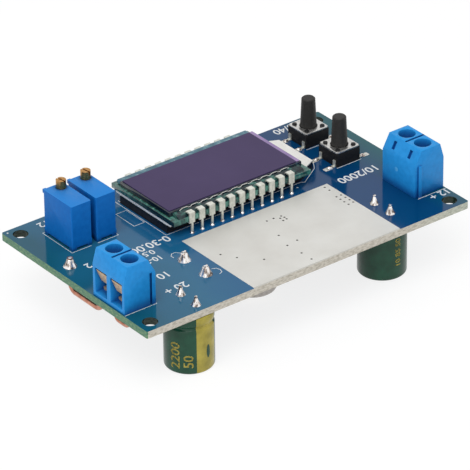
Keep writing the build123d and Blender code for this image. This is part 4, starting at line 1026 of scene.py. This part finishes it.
def makeCan():
    # gives the middle of the can's free end
    low, high = cornersOf("middle_capacitor_can")
    seat = Vector(((low.x + high.x) / 2, (low.y + high.y) / 2, boardLow.z - canForm["seatInMm"] * mm))
    can = risingForm(canForm["profile"], canForm["sides"])
    can.rotation_euler = (math.pi, 0, 0)
    can.location = seat
    settle(can, "pressed_middle_can", "drawnAluminium")
    smoothBy(can, smoothBelow["turned"])
    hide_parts("middle_capacitor_can")
    return seat - Vector((0, 0, canForm["profile"][-1][1] * mm))


def printSegment(end):
    deselectAll()
    bpy.ops.mesh.primitive_circle_add(vertices=canForm["segmentSides"], radius=canForm["segmentRadius"] * mm,
                                      fill_type="NGON")
    segment = bpy.context.active_object
    openEdit()
    bpy.ops.mesh.bisect(plane_co=(canForm["segmentFrom"] * mm, 0, 0), plane_no=(1, 0, 0), clear_inner=True)
    bpy.ops.mesh.select_all(action="SELECT")
    pullUp(canForm["segmentRise"])
    closeEdit()
    segment.rotation_euler = (math.pi, 0, 0)
    segment.location = end
    settle(segment, "can_printed_segment", "blackNylon")


def scoreVent(end):
    # two scores across the free end, where the can opens under pressure
    scores = []
    for side in (-1, 1):
        reach = Vector((1, side, 0)) * canForm["scoreInMm"] * mm
        scores.append(wireThrough([end - reach, end + reach], canForm["scoreRadius"] * mm, 0.0, 1))
    settle(joinAll(scores), "can_vent_scores", "holeShade")


canEnd = makeCan()
printSegment(canEnd)
scoreVent(canEnd)
print("stage: can pressed")

# Shrink sleeves: drawn tight over the can, turned in at both ends, with the crimp showing through
sleeveForm = {"radius": 5.1, "lip": 4.25, "lipRound": 0.12, "end": 3.85, "edge": 0.5, "crimpAt": 2.2,
              "crimpDepth": 0.4, "crimpHalf": 0.7, "steps": 8, "recess": 0.22, "recessTaper": 0.02,
              "sides": 96}
sleeves = {}


def makeSleevePiece(end, finish):
    node = end + "_capacitor_sleeve"
    low, high = cornersOf(node)
    radius, lipRound = sleeveForm["radius"], sleeveForm["lipRound"]
    edge, steps = sleeveForm["edge"], sleeveForm["steps"]
    height = (high.z - low.z) / mm
    profile = [(sleeveForm["lip"], 0.0), (radius - lipRound, 0.0), (radius, lipRound)]
    for i in range(steps + 1):
        share = i / steps
        dip = sleeveForm["crimpDepth"] * (1 - math.cos(share * math.tau)) / 2
        profile.append((radius - dip, sleeveForm["crimpAt"] + sleeveForm["crimpHalf"] * (2 * share - 1)))
    for i in range(steps + 1):
        angle = i / steps * math.pi / 2
        profile.append((radius - edge * (1 - math.cos(angle)), height - edge * (1 - math.sin(angle))))
    profile += [(sleeveForm["end"], height),
                (sleeveForm["end"] - sleeveForm["recessTaper"], height - sleeveForm["recess"])]
    sleeve = risingForm(profile, sleeveForm["sides"])
    sleeve.rotation_euler = (math.pi, 0, 0)
    sleeve.location = ((low.x + high.x) / 2, (low.y + high.y) / 2, high.z)
    settle(sleeve, end + "_tight_sleeve", finish)
    smoothBy(sleeve, smoothBelow["turned"])
    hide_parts(node)
    sleeves[node] = sleeve


makeSleevePiece("output", "greenShrinkSleeve")
makeSleevePiece("input", "greenShrinkSleeveTurned")

# Print on the sleeves: plain numbers that run up the side, a minus sign and a chevron on the stripe
sleevePrint = {"standOff": 0.025, "startOff": 0.3, "mergeInMm": 0.002, "cuts": 3, "strokeInMm": 0.3,
               "output": [("2200", 2.1, -160.0, -11.3), ("50", 2.1, -129.0, -11.0)],
               "input": [("10 85 50", 1.3, -90.5, -9.6)],
               "chevron": ((-109.0, -5.6), (-92.0, -3.9), (-83.0, -4.5), (-68.0, -3.0)), "chevronSteps": 6,
               "minusAt": (-79.8, -7.9), "minusInMm": (3.0, 0.95), "minusSides": 24}


def onSleeve(node, angle, depth):
    # a place on the sleeve and the frame there: up along the sleeve, round it, and out from it
    low, high = cornersOf(node)
    turn = math.radians(angle)
    outward = Vector((math.cos(turn), math.sin(turn), 0))
    up = Vector((0, 0, 1))
    middle = (low + high) / 2
    away = (high.x - low.x) / 2 + sleevePrint["startOff"] * mm
    place = Vector((middle.x, middle.y, high.z + depth * mm)) + outward * away
    return place, Matrix((up, outward.cross(up), outward)).transposed().to_4x4()


def wrapOn(node, piece, place, face, name, finish):
    # lays a thin flat piece round the sleeve
    pickOnly(piece)
    openEdit()
    bpy.ops.mesh.remove_doubles(threshold=sleevePrint["mergeInMm"] * mm)
    bpy.ops.mesh.quads_convert_to_tris()
    bpy.ops.mesh.subdivide(number_cuts=sleevePrint["cuts"])
    bpy.ops.object.mode_set(mode="OBJECT")
    piece.matrix_world = Matrix.Translation(place) @ face
    applyPlace()
    wrap = piece.modifiers.new("wrap", "SHRINKWRAP")
    wrap.target = sleeves[node]
    wrap.wrap_method = "NEAREST_SURFACEPOINT"
    wrap.offset = sleevePrint["standOff"] * mm
    bpy.ops.object.modifier_apply(modifier="wrap")
    settle(piece, name, finish)


def printSleeve(end):
    node = end + "_capacitor_sleeve"
    for number, (words, cap, angle, depth) in enumerate(sleevePrint[end]):
        place, face = onSleeve(node, angle, depth)
        place -= face.to_3x3() @ Vector((0, cap * mm / 2, 0))
        lettering = layFlat(words, cap, (0, 0, 0), 0.0)
        wrapOn(node, lettering, place, face, end + "_sleeve_print_" + str(number), "goldSleeveInk")


def markStripe():
    node = "output_capacitor_sleeve"
    deselectAll()
    bpy.ops.mesh.primitive_circle_add(vertices=sleevePrint["minusSides"], radius=mm / 2, fill_type="NGON")
    oval = bpy.context.active_object
    openEdit()
    bpy.ops.transform.resize(value=(*sleevePrint["minusInMm"], 1.0))
    bpy.ops.object.mode_set(mode="OBJECT")
    wrapOn(node, oval, *onSleeve(node, *sleevePrint["minusAt"]), "stripe_minus", "greenSleeveShowing")
    corners, steps = sleevePrint["chevron"], sleevePrint["chevronSteps"]
    points = [onSleeve(node, angle + (nextAngle - angle) * i / steps,
                       depth + (nextDepth - depth) * i / steps)[0]
              for (angle, depth), (nextAngle, nextDepth) in zip(corners, corners[1:]) for i in range(steps)]
    points.append(onSleeve(node, *corners[-1])[0])
    line = wireThrough(points, sleevePrint["strokeInMm"] * mm / 2, 0.0, 1)
    wrapOn(node, line, Vector((0, 0, 0)), Matrix.Identity(4), "stripe_chevron", "greenSleeveShowing")


printSleeve("output")
printSleeve("input")
markStripe()
print("stage: sleeves printed")

# Studio
studio = {"skyLevel": 0.58, "floorSize": 4.0, "floorDrop": 0.05, "floorColour": "#f4f4f4", "floorShow": 0.75,
          "floorGlow": 1.08}
lamps = {"keySoftbox": {"place": (-0.25, -0.2, 0.6), "power": 2.1, "size": 0.5},
         "fillSoftbox": {"place": (-0.55, -0.35, 0.12), "power": 0.35, "size": 0.4}}


def seenDirectly(tree):
    # 1 where the camera, a mirror or clear glass looks straight at the surface
    ray = addNode(tree, "ShaderNodeLightPath")
    either = addNode(tree, "ShaderNodeMath", {"operation": "MAXIMUM"},
                     {0: (ray, "Is Camera Ray"), 1: (ray, "Is Glossy Ray")})
    return addNode(tree, "ShaderNodeMath", {"operation": "MAXIMUM"},
                   {0: (either, 0), 1: (ray, "Is Transmission Ray")})


def makeWorld():
    world = bpy.data.worlds.new("studioWorld")
    bpy.context.scene.world = world
    tree = emptyTree(world)
    light = addNode(tree, "ShaderNodeBackground", {"Color": (1, 1, 1, 1), "Strength": studio["skyLevel"]})
    white = addNode(tree, "ShaderNodeBackground", {"Color": (1, 1, 1, 1), "Strength": 1.0})
    mix = addNode(tree, "ShaderNodeMixShader", {}, {0: (seenDirectly(tree), 0), 1: (light, 0), 2: (white, 0)})
    addNode(tree, "ShaderNodeOutputWorld", {}, {"Surface": (mix, 0)})


def makeFloor():
    deselectAll()
    bpy.ops.mesh.primitive_plane_add(size=studio["floorSize"],
                                     location=(0, 0, cadBox[0][2] - studio["floorDrop"] * mm))
    floor = bpy.context.active_object
    floor.name = "studioFloor"
    applyPlace()
    # paper that keeps the object's shadow and looks white
    paper = bpy.data.materials.new("paleStudioPaper")
    tree = emptyTree(paper)
    shade = addNode(tree, "ShaderNodeBsdfDiffuse", {"Color": toLinear(studio["floorColour"])})
    show = addNode(tree, "ShaderNodeEmission", {"Color": (1, 1, 1, 1), "Strength": studio["floorGlow"]})
    part = addNode(tree, "ShaderNodeMath", {"operation": "MULTIPLY", 1: studio["floorShow"]},
                   {0: (seenDirectly(tree), 0)})
    mix = addNode(tree, "ShaderNodeMixShader", {}, {0: (part, 0), 1: (shade, 0), 2: (show, 0)})
    addNode(tree, "ShaderNodeOutputMaterial", {}, {"Surface": (mix, 0)})
    floor.data.materials.append(paper)


def addLamp(name):
    # a square softbox that faces the object
    lampData = bpy.data.lights.new(name, "AREA")
    lampData.energy = lamps[name]["power"]
    lampData.size = lamps[name]["size"]
    lamp = bpy.data.objects.new(name, lampData)
    bpy.context.collection.objects.link(lamp)
    lamp.location = lamps[name]["place"]
    lamp.rotation_euler = (-lamp.location).to_track_quat("-Z", "Y").to_euler()


makeWorld()
makeFloor()
for lampName in lamps:
    addLamp(lampName)

# Camera, fitted to the photograph: angles in degrees, distance in mm
viewpoint = {"azimuth": -37.396, "elevation": 29.929, "roll": -0.701, "distance": 878.09,
             "target": (-0.7, -0.5, 1.6), "lens": 333.7, "sensor": 36, "shiftY": -0.034, "clipEnd": 20}


def makeCamera():
    azimuth, elevation, roll = (math.radians(viewpoint[key]) for key in ("azimuth", "elevation", "roll"))
    back = Vector((math.sin(azimuth) * math.cos(elevation), -math.cos(azimuth) * math.cos(elevation),
                   math.sin(elevation)))
    levelRight = Vector((math.cos(azimuth), math.sin(azimuth), 0))
    levelUp = back.cross(levelRight)
    right = math.cos(roll) * levelRight + math.sin(roll) * levelUp
    up = -math.sin(roll) * levelRight + math.cos(roll) * levelUp
    cameraData = bpy.data.cameras.new("photoCamera")
    cameraData.lens = viewpoint["lens"]
    cameraData.sensor_width = viewpoint["sensor"]
    cameraData.shift_y = viewpoint["shiftY"]
    cameraData.clip_end = viewpoint["clipEnd"]
    camera = bpy.data.objects.new("photoCamera", cameraData)
    bpy.context.collection.objects.link(camera)
    turn = Matrix((right, up, back)).transposed().to_4x4()
    place = Vector(viewpoint["target"]) * mm + back * viewpoint["distance"] * mm
    camera.matrix_world = Matrix.Translation(place) @ turn
    bpy.context.scene.camera = camera


makeCamera()
bpy.context.scene.view_settings.view_transform = "Standard"
print("stage: studio and camera ready")
